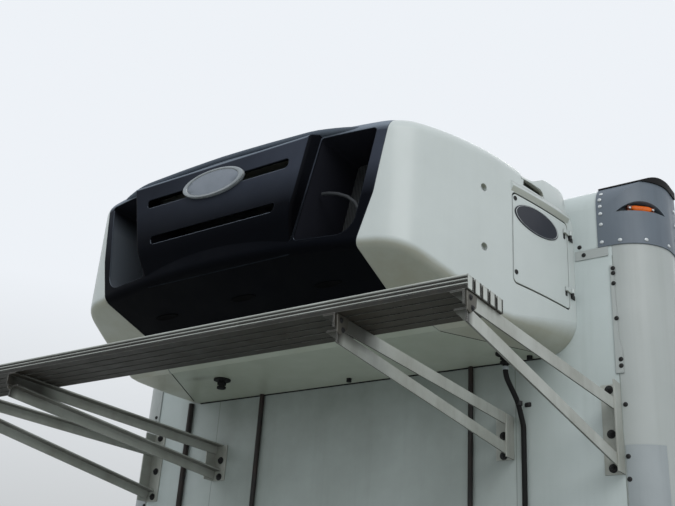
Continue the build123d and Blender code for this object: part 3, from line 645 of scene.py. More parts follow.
# Injection-moulded acrylic lens, amber, ribbed inside
LENS = replace(LAMP, name="acrylic_amber_lens", colour="#e06a0e", drift_to="#c9590a",
               roughness=0.25, coat=0.2, specular=0.3)
# Drawn steel tube under black paint that has begun to rust
RUSTY_TUBE = replace(BLACK_STEEL, name="steel_tube_rusting", drift_to="#33211a", drift=0.5, drift_scale=14.0)
# The same tube inside the unit, grey with road dust
DUSTY_PIPE = replace(BLACK_STEEL, name="steel_tube_dusty", colour="#2c2f33", drift_to="#3a3c3e")
# Sealant, gunned and smoothed, gone grey
SEALANT = replace(RUBBER, name="sealant_grey", colour="#8f9692", drift_to="#6f766f")
# Painted steel sheet over the foot of the corner post
GUARD_PAINT = replace(CAP, name="steel_guard_paint", colour="#8b9294", drift_to="#7d8587", edge_wear_and_highlight="#b4b9ba", highlight_and_wear_share=0.4)
# Satin pressed face of the nose's plate, a shade under its rim
SHADED_PLATE = replace(PLATE, name="aluminium_satin_face", colour="#767d86", drift_to="#687079", metallic=0.3)
# The platform's metal where feet keep it bright, and where they never reach
BRIGHT_METAL = replace(ALUMINIUM, name="aluminium_worn_bright", colour="#b9bdb8", drift_to="#9da09a", metallic=0.3,
                       under=0.3)
DULL_METAL = replace(ALUMINIUM, name="aluminium_dull", colour="#55534c", drift_to="#3e3a33", metallic=0.3)

# Nodes whose finish is a variant of their slot's
OWN_FINISH = {
    "intake_duct_right": DUCTS, "intake_duct_left": DUCTS, "belly_pan": BELLY, "platform_planks": PLANKS,
    "platform_nosing": PLANKS, "drain_tubes": RUSTY_TUBE, "platform_arms": BRACKETS, "platform_struts": BRACKETS,
}


@dataclass
class Sketch:
    """A mesh under construction."""

    points: list[Vector] = field(default_factory=list)
    faces: list[tuple[int, ...]] = field(default_factory=list)

    def loops(self, rings: Sequence[Sequence[Vector]]) -> None:
        """Skin closed rings of equal length, one after another, and close the first and the last.

        Args:
            rings: The rings' points.
        """
        base, n = len(self.points), len(rings[0])
        for ring in rings:
            self.points.extend(ring)
        for i in range(len(rings) - 1):
            for j in range(n):
                a, b = base + i * n + j, base + i * n + (j + 1) % n
                self.faces.append((a, b, b + n, a + n))
        self.faces.append(tuple(base + j for j in reversed(range(n))))
        top = base + (len(rings) - 1) * n
        self.faces.append(tuple(top + j for j in range(n)))

    def stepped(self, outline: Profile, steps: Profile, place: Matrix) -> None:
        """Extrude an outline in steps, each scaled about the outline's centre.

        Args:
            outline: The outline's corners in the local XY plane.
            steps: Scale and height of each step.
            place: Placement of the local frame.
        """
        self.loops([[place @ Vector((x * scale, y * scale, height)) for x, y in outline] for scale, height in steps])

    def lathe(self, profile: Profile, place: Matrix, segments: int) -> None:
        """Turn a profile about the local Z axis.

        Args:
            profile: Radius and height of each point, from the bottom up.
            place: Placement of the local frame.
            segments: Steps round the axis.
        """
        self.stepped(ellipse(1.0, 1.0, segments), profile, place)

    def tube(self, path: Sequence[Vector], radius: float | Sequence[float], segments: int) -> None:
        """Sweep a circle along a path.

        Args:
            path: The centre line's points.
            radius: Radius of the tube, or one for each point.
            segments: Steps round it.
        """
        rings, side = [], None
        radii = [radius] * len(path) if isinstance(radius, float) else radius
        for i, (here, wide) in enumerate(zip(path, radii)):
            ahead = (path[min(i + 1, len(path) - 1)] - path[max(i - 1, 0)]).normalized()
            side = side or ahead.orthogonal().normalized()
            side = (side - side.dot(ahead) * ahead).normalized()
            other = ahead.cross(side)
            rings.append([here + wide * (x * side + y * other) for x, y in ellipse(1.0, 1.0, segments)])
        self.loops(rings)

    def flipped(self) -> "Sketch":
        """Give the mirror image across the truck's centre plane."""
        return Sketch([mirrored(p) for p in self.points], [tuple(reversed(f)) for f in self.faces])

    def doubled(self) -> "Sketch":
        """Give the shape together with its mirror image."""
        other, base = self.flipped(), len(self.points)
        return Sketch(self.points + other.points, self.faces + [tuple(base + i for i in f) for f in other.faces])

    def mesh(self, name: str, smooth_angle: float = 35.0) -> Mesh:
        """Make the Blender mesh.

        Args:
            name: Its name.
            smooth_angle: Edges sharper than this stay sharp, in degrees.

        Returns:
            The mesh.
        """
        made = bpy.data.meshes.new(name)
        made.from_pydata([tuple(p) for p in self.points], [], self.faces)
        made.shade_smooth()
        made.set_sharp_from_angle(angle=math.radians(smooth_angle))
        return made


def ellipse(half_x: float, half_y: float, segments: int = 64) -> list[Pair]:
    """Draw an ellipse's outline.

    Args:
        half_x: Half width.
        half_y: Half height.
        segments: Number of points.

    Returns:
        The outline.
    """
    return [(half_x * math.cos(2 * math.pi * k / segments), half_y * math.sin(2 * math.pi * k / segments))
            for k in range(segments)]


def round_box(half_x: float, half_y: float, corner: float, steps: int) -> list[Pair]:
    """Draw a rectangle with round corners.

    Args:
        half_x: Half width.
        half_y: Half height.
        corner: Radius of the corners.
        steps: Points along each corner.

    Returns:
        The outline.
    """
    outline = []
    for quarter, (sx, sy) in enumerate(((1, 1), (-1, 1), (-1, -1), (1, -1))):
        for k in range(steps + 1):
            a = math.pi / 2 * (quarter + k / steps)
            outline.append((sx * (half_x - corner) + corner * math.cos(a),
                            sy * (half_y - corner) + corner * math.sin(a)))
    return outline


HEXAGON, ROUND_12, ROUND_16, ROUND_24 = (ellipse(1.0, 1.0, n) for n in (6, 12, 16, 24))


@dataclass(frozen=True)
class Part:
    """A small part that is repeated, drawn about the origin with its head along Z."""

    finish: Finish
    # An outline with the scale and height of its steps, for each layer
    layers: tuple[tuple[Profile, Profile], ...]
    # Largest random turn about the normal, in radians
    spin: float = 2 * math.pi


RIVETS = Part(RIVET, ((ROUND_16, (
    (0.0072, -0.0004), (0.0072, 0.0003), (0.0066, 0.0016), (0.005, 0.0028), (0.0026, 0.0034), (0.0015, 0.0034),
    (0.0012, 0.0022))),))
SCREWS = Part(BLACK_STEEL, ((ROUND_16, (
    (0.008, -0.0004), (0.008, 0.0006), (0.0074, 0.0014), (0.0056, 0.0018), (0.0054, 0.0034), (0.0044, 0.0044),
    (0.002, 0.0048), (0.0016, 0.0032))),))
SMALL_SCREWS = Part(RIVET, ((ROUND_12, (
    (0.0045, -0.0004), (0.0045, 0.0006), (0.0038, 0.0018), (0.0016, 0.0024), (0.0012, 0.0014))),))
BOLTS = Part(BLACK_STEEL, (
    (ROUND_24, ((0.0145, -0.0004), (0.0145, 0.0018), (0.0136, 0.0026), (0.0095, 0.0028))),
    (HEXAGON, ((0.0098, 0.0022), (0.0098, 0.0078), (0.0088, 0.009))),
    (ROUND_16, ((0.005, 0.0086), (0.005, 0.0128), (0.004, 0.0138)))))
END_CAPS = Part(BRIGHT_METAL, ((round_box(0.018, 0.0098, 0.0015, 2), (
    (1.0, -0.0006), (1.0, 0.0012), (0.97, 0.0018), (0.88, 0.0018), (0.86, 0.0012))),), spin=0.0)


def scatter_group() -> NodeTree:
    """Build the node group that repeats a part over points, each one square to its surface and spun.

    Returns:
        The Geometry Nodes group.
    """
    tree = bpy.data.node_groups.new("part_scatter", "GeometryNodeTree")
    for name, kind in (("Points", "Geometry"), ("Part", "Object"), ("Seed", "Int"), ("Spin", "Float"),
                       ("Finish", "Material")):
        tree.interface.new_socket(name, in_out="INPUT", socket_type=f"NodeSocket{kind}")
    tree.interface.new_socket("Parts", in_out="OUTPUT", socket_type="NodeSocketGeometry")
    given = add(tree, "NodeGroupInput").outputs
    facing = add(tree, "GeometryNodeInputNamedAttribute", {"data_type": "FLOAT_VECTOR"}, Name="facing")
    align = add(tree, "FunctionNodeAlignRotationToVector", {"axis": "Z"}, Vector=facing)
    spin = add(tree, "FunctionNodeRandomValue", {"data_type": "FLOAT"}, Max=given["Spin"], Seed=given["Seed"])
    about = add(tree, "FunctionNodeAxisAngleToRotation", Angle=spin)
    turned = add(tree, "FunctionNodeRotateRotation", {"rotation_space": "LOCAL"}, Rotation=align, Rotate_By=about)
    item = add(tree, "GeometryNodeObjectInfo", Object=given["Part"]).outputs["Geometry"]
    spread = add(tree, "GeometryNodeInstanceOnPoints", Points=given["Points"], Instance=item, Rotation=turned)
    real = add(tree, "GeometryNodeRealizeInstances", Geometry=spread)
    painted = add(tree, "GeometryNodeSetMaterial", Geometry=real, Material=given["Finish"])
    add(tree, "NodeGroupOutput", Parts=painted)
    return tree


class Workshop:
    """Paints the frame and adds pieces to it."""

    SEED = 7

    def __init__(self, frame: dict) -> None:
        """Keep the frame and make the group that repeats small parts.
        """
        self.frame, self.scatter = frame, scatter_group()
        self.finished: dict[str, Material] = {}

    def material(self, finish: Finish) -> Material:
        """Find a finish's material, making it at first use.

        Args:
            finish: The finish.

        Returns:
            The material.
        """
        if finish.name not in self.finished:
            self.finished[finish.name] = Surface(finish).block
            LOG.info("finish %s", finish.name)
        return self.finished[finish.name]

    def paint_frame(self) -> None:
        """Give every CAD node the material of its slot, or its own variant of it."""
        for row in self.frame["record"]["subparts"]:
            mesh = self.frame["nodes"][row["node"]].data
            mesh.materials.clear()
            mesh.materials.append(self.material(OWN_FINISH.get(row["node"], BASES[Slot(row["material_slot"])])))
            mesh.shade_smooth()
            mesh.set_sharp_from_angle(angle=math.radians(SHARP_CAD))

    def piece(self, name: str, shape: Sketch | Mesh, finish: Finish, body: Body = Body.WALL) -> None:
        """Add one piece.

        Args:
            name: Its plain name.
            shape: Its shape, in the model's frame.
            finish: Its finish.
            body: The body it moves with.
        """
        mesh = shape.mesh(name) if isinstance(shape, Sketch) else shape
        mesh.materials.clear()
        mesh.materials.append(self.material(finish))
        made = linked(name, mesh)
        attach(made, body.value)
        LOG.info("piece %s, %d faces", name, len(mesh.polygons))

    def repeat(self, name: str, part: Part, spots: Sequence[Spot]) -> None:
        """Add a set of like small parts on the fixed body as one piece.

        Args:
            name: Its plain name.
            part: Which part.
            spots: Point and normal of each.
        """
        base, shape = bpy.data.meshes.new(name), Sketch()
        base.from_pydata([tuple(p) for p, _ in spots], [], [])
        facing = base.attributes.new("facing", "FLOAT_VECTOR", "POINT")
        facing.data.foreach_set("vector", [c for _, n in spots for c in n])
        for outline, steps in part.layers:
            shape.stepped(outline, steps, Matrix.Identity(4))
        holder, item = linked(name + "_points", base), linked(name + "_item", shape.mesh(name + "_item"))
        modifier = holder.modifiers.new("scatter", "NODES")
        modifier.node_group = self.scatter
        ids = {s.name: s.identifier for s in self.scatter.interface.items_tree if s.in_out == "INPUT"}
        for key, value in (("Part", item), ("Seed", self.SEED), ("Spin", part.spin),
                           ("Finish", self.material(part.finish))):
            modifier[ids[key]] = value
        holder.update_tag()
        bpy.context.view_layer.update()
        graph = bpy.context.evaluated_depsgraph_get()
        result = bpy.data.meshes.new_from_object(holder.evaluated_get(graph), depsgraph=graph)
        result.name = name
        for made in (holder, item):
            bpy.data.objects.remove(made)
        self.piece(name, result, part.finish)


@dataclass
class NoseTrim:
    """The bare oval plate on the nose, the plugs under it, drawn near-black as painted shade, and the rolled rim above
    the raised field.
    """

    shop: Workshop
    plate: Pair = (0.137, 0.05)
    plate_at: Point = (0.0, -0.9042, 0.46)
    # Scale of the rim's inner edge, then scale and height of each step
    inner: float = 0.86
    rim_steps: Profile = ((0.99, 0.0), (1.0, 0.0014), (0.995, 0.004), (0.97, 0.0056), (0.93, 0.006))
    face_steps: Profile = ((0.6, 0.0044), (0.3, 0.005), (0.02, 0.0052))
    plug: Pair = (0.056, 0.014)
    plug_steps: Profile = ((1.0, -0.001), (1.0, 0.001), (0.94, 0.002), (0.8, 0.0012), (0.4, 0.0004), (0.05, 0.0002))
    plugs: tuple[Point, ...] = ((0.359, -0.687, 0.1), (0.014, -0.703, 0.105), (-0.359, -0.689, 0.1))
    plug_faces: Point = (0.0, -0.3244, -0.9459)
    # Centre line and radius of the rolled rim, on the right half
    rolled: tuple[tuple[float, float, float, float], ...] = (
        (0.56, -0.806, 0.562, 0.004), (0.52, -0.821, 0.562, 0.007), (0.49, -0.83, 0.562, 0.009),
        (0.46, -0.838, 0.562, 0.0105), (0.43, -0.845, 0.5625, 0.0115), (0.4, -0.851, 0.563, 0.012),
        (0.37, -0.855, 0.5635, 0.012), (0.33, -0.8575, 0.564, 0.0118), (0.27, -0.86, 0.5655, 0.0111),
        (0.2, -0.862, 0.568, 0.0104), (0.13, -0.8635, 0.5695, 0.01), (0.06, -0.8645, 0.5705, 0.01),
        (0.0, -0.865, 0.571, 0.01))

    def build(self) -> None:
        """Add the plate's rim, its bare face, the plugs and the rolled rim."""
        outline, place = ellipse(*self.plate), placed(at_unit(*self.plate_at), FRONT)
        rim, face, plugs, lip = (Sketch() for _ in range(4))
        rim.stepped(outline, (*self.rim_steps, (self.inner + 0.01, 0.005), (self.inner, 0.0024)), place)
        self.shop.piece("nose_plate_rim", rim, PLATE)
        face.stepped(outline, ((self.inner, 0.002), (self.inner - 0.02, 0.0034), *self.face_steps), place)
        self.shop.piece("nose_plate_face", face, SHADED_PLATE)
        for spot in self.plugs:
            plugs.stepped(ellipse(*self.plug, 40), self.plug_steps, placed(at_unit(*spot), Vector(self.plug_faces)))
        self.shop.piece("nose_plugs", plugs, SHADE_DARK_PLUGS)
        whole = [*self.rolled, *((-x, y, z, r) for x, y, z, r in reversed(self.rolled[:-1]))]
        lip.tube([at_unit(x, y, z) for x, y, z, _ in whole], [r for *_, r in whole], 16)
        self.shop.piece("nose_rolled_rim", lip, FADED_AND_HIGHLIT_RIM)


@dataclass
class SideDoors:
    """Plates, latches and catches on the two side doors."""

    shop: Workshop
    plate_y: float = -0.226
    plate_z: float = 0.402
    plate: Pair = (0.12, 0.048)
    # Scale and distance out of the side of each of the plate's and its rim's rings
    plate_rings: Profile = ((1.0, 0.0002), (1.0, 0.0022), (0.985, 0.003), (0.94, 0.003), (0.7, 0.003),
                            (0.4, 0.003), (0.1, 0.003), (0.01, 0.003))
    rim_rings: Profile = ((0.955, 0.0026), (0.955, 0.0036), (0.94, 0.0036), (0.93, 0.0026))
    latch_y: float = -0.342
    latch_z: Row = (0.45, 0.181)
    latch_spin: float = 0.6
    latch_head: Profile = ((0.0085, -0.0004), (0.0085, 0.0012), (0.0075, 0.0024), (0.0045, 0.0028), (0.0042, 0.0014))
    # Half width, half height, corner radius and its steps; then scale and height of each step
    latch_slot: Row = (0.004, 0.0009, 0.0005, 2)
    slot_steps: Profile = ((1.0, 0.001), (1.0, 0.0028), (0.94, 0.0032))
    catch: Row = (0.0055, 0.016, 0.0015, 3)
    catch_steps: Profile = ((1.0, -0.0004), (1.0, 0.0012), (0.9, 0.002))
    catch_y: float = -0.064
    catch_z: Row = (0.42, 0.204)

    def build(self) -> None:
        """Add each door's plate, rim, latches and catches."""
        plate, rim, small = Sketch(), Sketch(), Sketch()
        for disc, rings in ((plate, self.plate_rings), (rim, self.rim_rings)):
            disc.loops([[SIDE.spot(self.plate_y + scale * a, self.plate_z + scale * b, out)[0]
                         for a, b in ellipse(*self.plate)] for scale, out in rings])
        for z in self.latch_z:
            place = placed(*SIDE.spot(self.latch_y, z), self.latch_spin)
            small.lathe(self.latch_head, place, 20)
            small.stepped(round_box(*self.latch_slot), self.slot_steps, place)
        for z in self.catch_z:
            small.stepped(round_box(*self.catch), self.catch_steps, placed(*SIDE.spot(self.catch_y, z)))
        for name, body in (("right", Body.DOOR_RIGHT), ("left", Body.DOOR_LEFT)):
            for label, made, finish in (("plate", plate, DARK_ENAMEL), ("plate_rim", rim, RIVET),
                                        ("latches", small, BLACK_STEEL)):
                side = made.flipped() if body is Body.DOOR_LEFT else made
                self.shop.piece(f"door_{label}_{name}", side, finish, body)


@dataclass
class Ears:
    """The moulded ears that rise over the side doors, with a hand slot under their front rim."""

    shop: Workshop
    # Distance behind the wall's front face, and the ear's foot and top there above the belly
    stations: tuple[Point, ...] = (
        (-0.309, 0.54, 0.55), (-0.285, 0.541, 0.551), (-0.255, 0.542, 0.553), (-0.24, 0.541, 0.558),
        (-0.222, 0.54, 0.567), (-0.205, 0.539, 0.577), (-0.194, 0.532, 0.583), (-0.188, 0.52, 0.586),
        (-0.184, 0.508, 0.587), (-0.17, 0.508, 0.59), (-0.15, 0.508, 0.59), (-0.128, 0.508, 0.589),
        (-0.105, 0.508, 0.59), (-0.087, 0.508, 0.589), (-0.074, 0.508, 0.585), (-0.065, 0.508, 0.577),
        (-0.059, 0.508, 0.563), (-0.054, 0.508, 0.54), (-0.05, 0.508, 0.518))
    proud: float = 0.0012
    thick: float = 0.014
    lip: float = 0.004
    round_low: float = 0.0045
    round_high: Pair = (0.0013, 0.0014)
    undercut: float = 0.0005
    smooth_angle: float = 50.0
    shelf_x: float = 0.787
    shelf_end: float = -0.184

    def build(self) -> None:
        """Add both ears."""
        made, rings = Sketch(), []
        for y, foot, top in self.stations:
            inward, down = self.round_high
            wall = [SIDE.spot(y, z, out)[0] for out, z in (
                (self.proud, foot), (self.proud, top - self.round_low), (self.proud - inward, top - down),
                (self.proud - self.lip, top))]
            inside = [SIDE.spot(y, z, self.proud - self.thick)[0]
                      for z in (top, top - self.lip, top - self.lip - self.undercut, foot)]
            if y < self.shelf_end:
                inside[:2] = [at_unit(self.shelf_x, y, top - drop) for drop in (0.0, self.lip)]
            rings.append(wall + inside)
        made.loops(rings)
        self.shop.piece("side_ears", made.doubled().mesh("side_ears", self.smooth_angle), UNIT)


@dataclass
class CornerCaps:
    """Rivets, lamps and lower guards on the body's corners."""

    shop: Workshop
    face_y: float = -0.0543
    side_x: float = 1.2233
    rivet_x: float = 1.027
    rivet_z: Row = (0.557, 0.531, 0.502, 0.46, 0.391)
    slope_rivet: Point = (1.03, 0.0079, 0.585)
    slope: Point = (0.0, -0.883, 0.47)
    bend_z: float = 0.388
    bend_angles: Row = (11.0, 42.0, 77.0)
    side_rivets: Profile = ((0.15, 0.388), (0.16, 0.446), (0.16, 0.5), (0.16, 0.56))
    lamp_angle: float = 41.0
    lamp_z: float = 0.514
    lamp_sink: float = 0.024
    lamp_screw: Pair = (0.042, 0.0106)
    lens_half: float = 0.036
    lens_ribs: int = 36
    lens_crown: float = 0.010856
    lens_base: float = 0.0105
    lens_bulge: float = 0.004
    # Power of the curve that closes the lens at its ends, the least it leaves, and steps over the crown
    lens_power: int = 6
    lens_least: float = 0.25
    lens_steps: int = 8
    rib_rise: float = 0.0008
    guard_low: float = 0.004
    guard_top: float = 1.378
    guard_thick: float = 0.0015
    guard_angles: Pair = (1.5, 47.0)
    guard_steps: int = 24
    guard_screw_angle: float = 4.0
    guard_screw_z: Row = (1.341, 1.27, 1.02, 0.77, 0.52, 0.27, 0.05)

    def build(self) -> None:
        """Add the caps' rivets, the lamps' lenses and screws, and the guards."""
        spots = [(Vector((self.rivet_x, self.face_y, UNIT_Z + z)), FRONT) for z in self.rivet_z]
        spots.append((at_unit(*self.slope_rivet), Vector(self.slope)))
        spots += [CORNER.spot(a, UNIT_Z + self.bend_z, CORNER.cap_radius) for a in self.bend_angles]
        spots += [(Vector((self.side_x, y, UNIT_Z + z)), RIGHT) for y, z in self.side_rivets]
        self.shop.repeat("cap_rivets", RIVETS, both(spots))
        self.lamps()
        self.guards()

    def lamps(self) -> None:
        """An amber lens and two screws on each lamp's housing."""
        middle, normal = CORNER.spot(self.lamp_angle, UNIT_Z + self.lamp_z, CORNER.cap_radius - self.lamp_sink)
        along = Vector((-normal.y, normal.x, 0.0))
        place = Matrix.Translation(middle) @ Matrix((along, normal.cross(along), normal)).transposed().to_4x4()
        lens, half = Sketch(), self.lens_half
        crown = [math.pi * n / self.lens_steps for n in range(self.lens_steps + 1)]
        for k in range(self.lens_ribs):
            low, high = (2 * half * (k + share) / self.lens_ribs - half for share in (0.0, 1.0))
            closing = 1 - (abs(low + high) / 2 / half) ** self.lens_power
            tall = self.lens_crown * math.sqrt(max(self.lens_least, closing))
            rings = [[Vector((x, tall * math.cos(a), self.lens_base + rise + self.lens_bulge * math.sin(a)))
                      for a in crown] + [Vector((x, -tall, 0.0)), Vector((x, tall, 0.0))]
                     for x, rise in ((low, 0.0), ((low + high) / 2, self.rib_rise), (high, 0.0))]
            lens.loops([[place @ p for p in reversed(ring)] for ring in rings])
        self.shop.piece("lamp_lenses", lens.doubled(), LENS)
        apart, out = self.lamp_screw
        screws = [(middle + s * apart * along + out * normal, normal) for s in (-1, 1)]
        self.shop.repeat("lamp_screws", SMALL_SCREWS, both(screws))

    def guards(self) -> None:
        """Thin painted sheets round the feet of the corner posts, with screws in their front edges."""
        thick, (first, last), made = self.guard_thick, self.guard_angles, Sketch()
        low, top = self.guard_low, self.guard_top
        section = ((low, 0.0002), (low, thick), (top - 0.001, thick), (top, thick - 0.0006), (top, 0.0002))
        turns = (first + (last - first) * k / self.guard_steps for k in range(self.guard_steps + 1))
        made.loops([[CORNER.spot(turn, z, CORNER.post_radius + out)[0] for z, out in section] for turn in turns])
        self.shop.piece("corner_guards", made.doubled(), GUARD_PAINT)
        spots = [CORNER.spot(self.guard_screw_angle, z, CORNER.post_radius + thick) for z in self.guard_screw_z]
        self.shop.repeat("guard_screws", SCREWS, both(spots))


@dataclass
class WallSeams:
    """Screws, sealant and gaskets over the wall's seams, the black gaskets painting the shadow lines in the seams."""

    shop: Workshop
    # Right-hand screws: across the truck, distance in front of the wall, height above the belly
    screws: tuple[Point, ...] = (
        (0.959, 0.003, 0.356), (1.06, 0.005, 0.286), (1.06, 0.005, 0.268), (1.059, 0.005, 0.23),
        (1.062, 0.005, 0.103), (1.068, 0.005, -0.041), (1.068, 0.005, -0.063), (0.944, 0.0, 0.39))
    post_screw: Pair = (4.5, -0.192)
    bead_radius: float = 0.0016
    bead_at: Pair = (1.0594, UNIT_Y - 0.0002)
    bead_z: Row = (0.06, 0.6, 1.2, 2.036)
    gasket_radius: float = 0.003
    gasket_half: float = 0.805
    gasket_at: Pair = (-0.0024, -0.0016)
    seal_radius: float = 0.0032
    seal_z: float = 0.0022
    seal: Profile = ((0.537, -0.618), (0.608, -0.386), (0.807, -0.045))
    # The belly rises in front of this line
    rise_y: float = -0.396
    rise: float = 0.343

    def build(self) -> None:
        """Add the screws, the sealant beads and the gaskets."""
        wall = [(at_unit(x, -out, z), FRONT) for x, out, z in self.screws]
        angle, z = self.post_screw
        wall.append(CORNER.spot(angle, UNIT_Z + z, CORNER.post_radius))
        self.shop.repeat("wall_screws", SCREWS, both(wall))
        beads, gasket, seals = (Sketch() for _ in range(3))
        beads.tube([Vector((*self.bead_at, z)) for z in self.bead_z], self.bead_radius, 8)
        self.shop.piece("seam_sealant", beads.doubled(), SEALANT)
        # A black gasket along the belly's joint with the wall, drawn black as the painted shadow line there
        gasket.tube([at_unit(x, *self.gasket_at) for x in (-self.gasket_half, 0.0, self.gasket_half)],
                    self.gasket_radius, 8)
        self.shop.piece("wall_gasket", gasket, RUBBER)
        # Black seals in the belly pan's side seams, drawn black as painted shadow lines in the gaps
        seals.tube([at_unit(x, y, self.seal_z + max(0.0, self.rise * (self.rise_y - y))) for x, y in self.seal],
                   self.seal_radius, 8)
        self.shop.piece("pan_seals", seals.doubled(), RUBBER)


@dataclass
class Platform:
    """Bolts, end caps, lips and clips of the service platform."""

    shop: Workshop
    angle_faces: tuple[tuple[float, Row], ...] = ((1.054, (-0.14, -0.286, -0.395)),
                                                                (0.678, (-0.262, -0.33)))
    bolt_in: float = 0.032
    bolt_y: float = -0.005
    cap_back: float = 0.005
    plank_middle: float = 1.538
    plank_count: int = 5
    nosing_y: float = FIRST_PLANK - 0.0161
    lips: Profile = ((1.5545, 0.0026), (1.5445, 0.0016), (1.534, 0.0016))
    arms: Row = (1.054, 0.678)
    clip_at: Pair = (-1.092, 1.5)
    clip: Profile = ((-0.024, 0.018), (-0.02, -0.03), (-0.004, -0.036), (0.026, -0.014), (0.03, 0.018))
    clip_screws: Profile = ((-0.006, 0.004), (0.004, -0.02))
    clip_gap: float = 0.0002
    clip_thick: float = 0.0045
    clip_edge: float = 0.0035

    def build(self) -> None:
        """Add the wall bolts, the planks' end caps, the rolled lips on the nosing and the clips under it."""
        through = [(at_unit(face - self.bolt_in, self.bolt_y, z), FRONT)
                   for face, heights in self.angle_faces for z in heights]
        self.shop.repeat("bracket_bolts", BOLTS, both(through))
        ends = [(Vector((PLANK_END, FIRST_PLANK - self.cap_back + k * PLANK_PITCH, self.plank_middle)), RIGHT)
                for k in range(self.plank_count)]
        self.shop.repeat("plank_end_caps", END_CAPS, both(ends))
        lips, clips = Sketch(), Sketch()
        for z, radius in self.lips:
            lips.tube([Vector((x, self.nosing_y, z)) for x in (-PLANK_END, 0.0, PLANK_END)], radius, 8)
        self.shop.piece("nosing_lips", lips, BRIGHT_METAL)
        clip_y, clip_z = self.clip_at
        turn = Matrix(((0, 0, 1), (1, 0, 0), (0, 1, 0))).to_4x4()
        for x in self.arms:
            clips.stepped(self.clip, ((1.0, 0.0), (1.0, self.clip_edge), (0.95, self.clip_thick)),
                          Matrix.Translation(Vector((x + self.clip_gap, clip_y, clip_z))) @ turn)
        self.shop.piece("arm_clips", clips.doubled(), DULL_METAL)
        bolts = [(Vector((x + self.clip_thick, clip_y + dy, clip_z + dz)), RIGHT)
                 for x in self.arms for dy, dz in self.clip_screws]
        self.shop.repeat("clip_screws", SCREWS, both(bolts))


@dataclass
class Drains:
    """The drain hose's clamp and wall clip."""

    shop: Workshop
    clamp_at: Point = (0.7, -0.1, -0.054)
    clamp: Profile = ((0.0092, -0.006), (0.0112, -0.006), (0.0118, -0.004), (0.0118, 0.004), (0.0112, 0.006),
                      (0.0092, 0.006))
    clip_at: Point = (0.716, -0.028, -0.16)
    clip: Profile = ((0.0092, -0.008), (0.0112, -0.007), (0.0112, 0.007), (0.0092, 0.008))
    foot_x: float = 0.736
    # Half width, half height, corner radius and its steps
    foot: Row = (0.012, 0.008, 0.004, 4)
    foot_steps: Profile = ((1.0, -0.0004), (1.0, 0.0016), (0.94, 0.0022))

    def build(self) -> None:
        """Add the clamp on the fitting and the clip on the wall."""
        clamp, clip, z = Sketch(), Sketch(), self.clip_at[2]
        clamp.lathe(self.clamp, placed(at_unit(*self.clamp_at), UP), 24)
        self.shop.piece("hose_clamp", clamp, PLATE)
        clip.lathe(self.clip, placed(at_unit(*self.clip_at), UP), 24)
        clip.stepped(round_box(*self.foot), self.foot_steps, placed(at_unit(self.foot_x, 0.0, z), FRONT))
        self.shop.piece("hose_clip", clip, BLACK_STEEL)
        self.shop.repeat("clip_bolts", SCREWS, [(at_unit(self.foot_x, -self.foot_steps[-1][1], z), FRONT)])


@dataclass
class UnitInside:
    """The thin bent pipe that shows behind the right air opening."""

    shop: Workshop
    pipe: tuple[Point, ...] = (
        (0.386, -0.79, 0.372), (0.41, -0.786, 0.371), (0.445, -0.782, 0.362), (0.48, -0.778, 0.345),
        (0.51, -0.775, 0.318), (0.528, -0.773, 0.285), (0.536, -0.772, 0.25))
    radius: float = 0.006

    def build(self) -> None:
        """Add the pipe."""
        made = Sketch()
        made.tube([at_unit(*p) for p in self.pipe], self.radius, 10)
        self.shop.piece("coolant_pipe", made, DUSTY_PIPE)


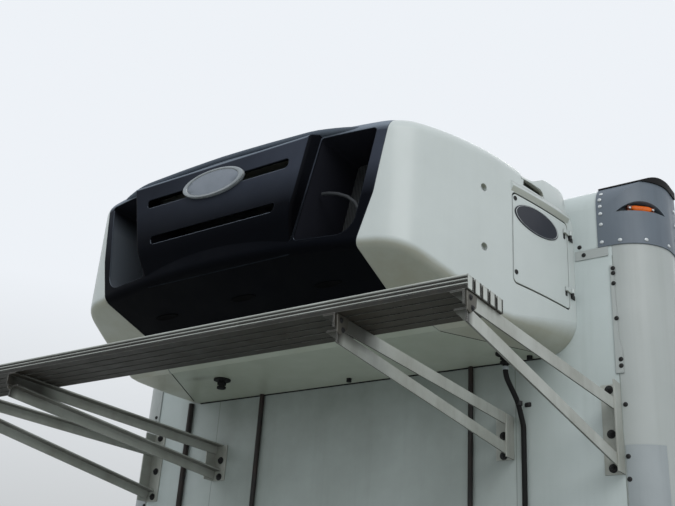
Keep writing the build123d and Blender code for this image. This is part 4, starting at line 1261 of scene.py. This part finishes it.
@dataclass
class Stage:
    """Floor, light and camera."""

    camera_at: Point = (2.018, -2.944, 0.675)
    yaw: float = 36.44
    pitch: float = 24.13
    roll: float = -3.98
    lens: float = 49.4
    sensor: float = 36.0
    floor_half: float = 9.0
    light_size: float = 4.5

    def build(self) -> None:
        """Set everything up."""
        self.world()
        self.floor()
        self.lights()
        self.camera()
        bpy.context.scene.view_settings.view_transform = "Standard"

    def world(self) -> None:
        """An overcast sky, pale above and dim below the horizon."""
        world = bpy.data.worlds.new("overcast")
        tree = cleared(world)
        split = add(tree, "ShaderNodeSeparateXYZ", Vector=add(tree, "ShaderNodeTexCoord").outputs["Generated"])
        share = add(tree, "ShaderNodeMapRange", n0=split.outputs["Z"], n1=-0.25, n2=0.35)
        colour = add(tree, "ShaderNodeMix", {"data_type": "RGBA"}, Factor=share, A=linear("#6f6f64"),
                     B=linear("#e4e8ed"))
        light = add(tree, "ShaderNodeBackground", Color=colour, Strength=1.1)
        add(tree, "ShaderNodeOutputWorld", Surface=light)
        bpy.context.scene.world = world

    def floor(self) -> None:
        """A plain pale floor under the wall."""
        half = self.floor_half
        mesh = bpy.data.meshes.new("floor")
        mesh.from_pydata([(-half, -half, 0), (half, -half, 0), (half, half, 0), (-half, half, 0)], [], [(0, 1, 2, 3)])
        plain = bpy.data.materials.new("floor_pale")
        tree = cleared(plain)
        shader = add(tree, "ShaderNodeBsdfPrincipled", Base_Color=linear("#c4c7c5"), Roughness=0.9)
        add(tree, "ShaderNodeOutputMaterial", Surface=shader)
        mesh.materials.append(plain)
        linked("floor", mesh)

    def lights(self) -> None:
        """Soft light from above, brighter on the front right."""
        for name, place, aim, power in (("sky_right", (4.5, -4.0, 5.5), (0.6, -0.4, 1.9), 165.0),
                                        ("sky_front", (-2.5, -5.0, 6.0), (0.0, -0.6, 1.9), 20.0),
                                        ("sky_rear", (0.0, 5.0, 5.0), (0.0, 0.0, 1.5), 120.0)):
            lamp = bpy.data.lights.new(name, "AREA")
            lamp.energy, lamp.size = power, self.light_size
            made = linked(name, lamp)
            made.location = place
            made.rotation_euler = (Vector(aim) - Vector(place)).to_track_quat("-Z", "Y").to_euler()

    def camera(self) -> None:
        """The photograph's camera, solved from the unit's and the wall's edges."""
        place = Matrix.Translation(Vector(self.camera_at))
        for degrees, axis in ((self.yaw, "Z"), (90.0 + self.pitch, "X"), (-self.roll, "Z")):
            place = place @ Matrix.Rotation(math.radians(degrees), 4, axis)
        view = bpy.data.cameras.new("photo_camera")
        view.lens, view.sensor_width = self.lens, self.sensor
        view.clip_start, view.clip_end = 0.05, 100.0
        made = linked("photo_camera", view)
        made.matrix_world = place
        bpy.context.scene.camera = made


def note_sizes() -> None:
    """Update the view layer.
    """
    bpy.context.view_layer.update()


def main() -> None:
    """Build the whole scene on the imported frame."""
    logging.basicConfig(level=logging.INFO)
    for made in list(bpy.data.objects):
        bpy.data.objects.remove(made)
    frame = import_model()
    bpy.context.view_layer.update()
    shop = Workshop(frame)
    shop.paint_frame()
    for part in (NoseTrim(shop), SideDoors(shop), Ears(shop), CornerCaps(shop), WallSeams(shop), Platform(shop),
                 Drains(shop), UnitInside(shop)):
        part.build()
        LOG.info("built %s", type(part).__name__)
    Stage().build()
    note_sizes()


if __name__ == "__main__":
    main()
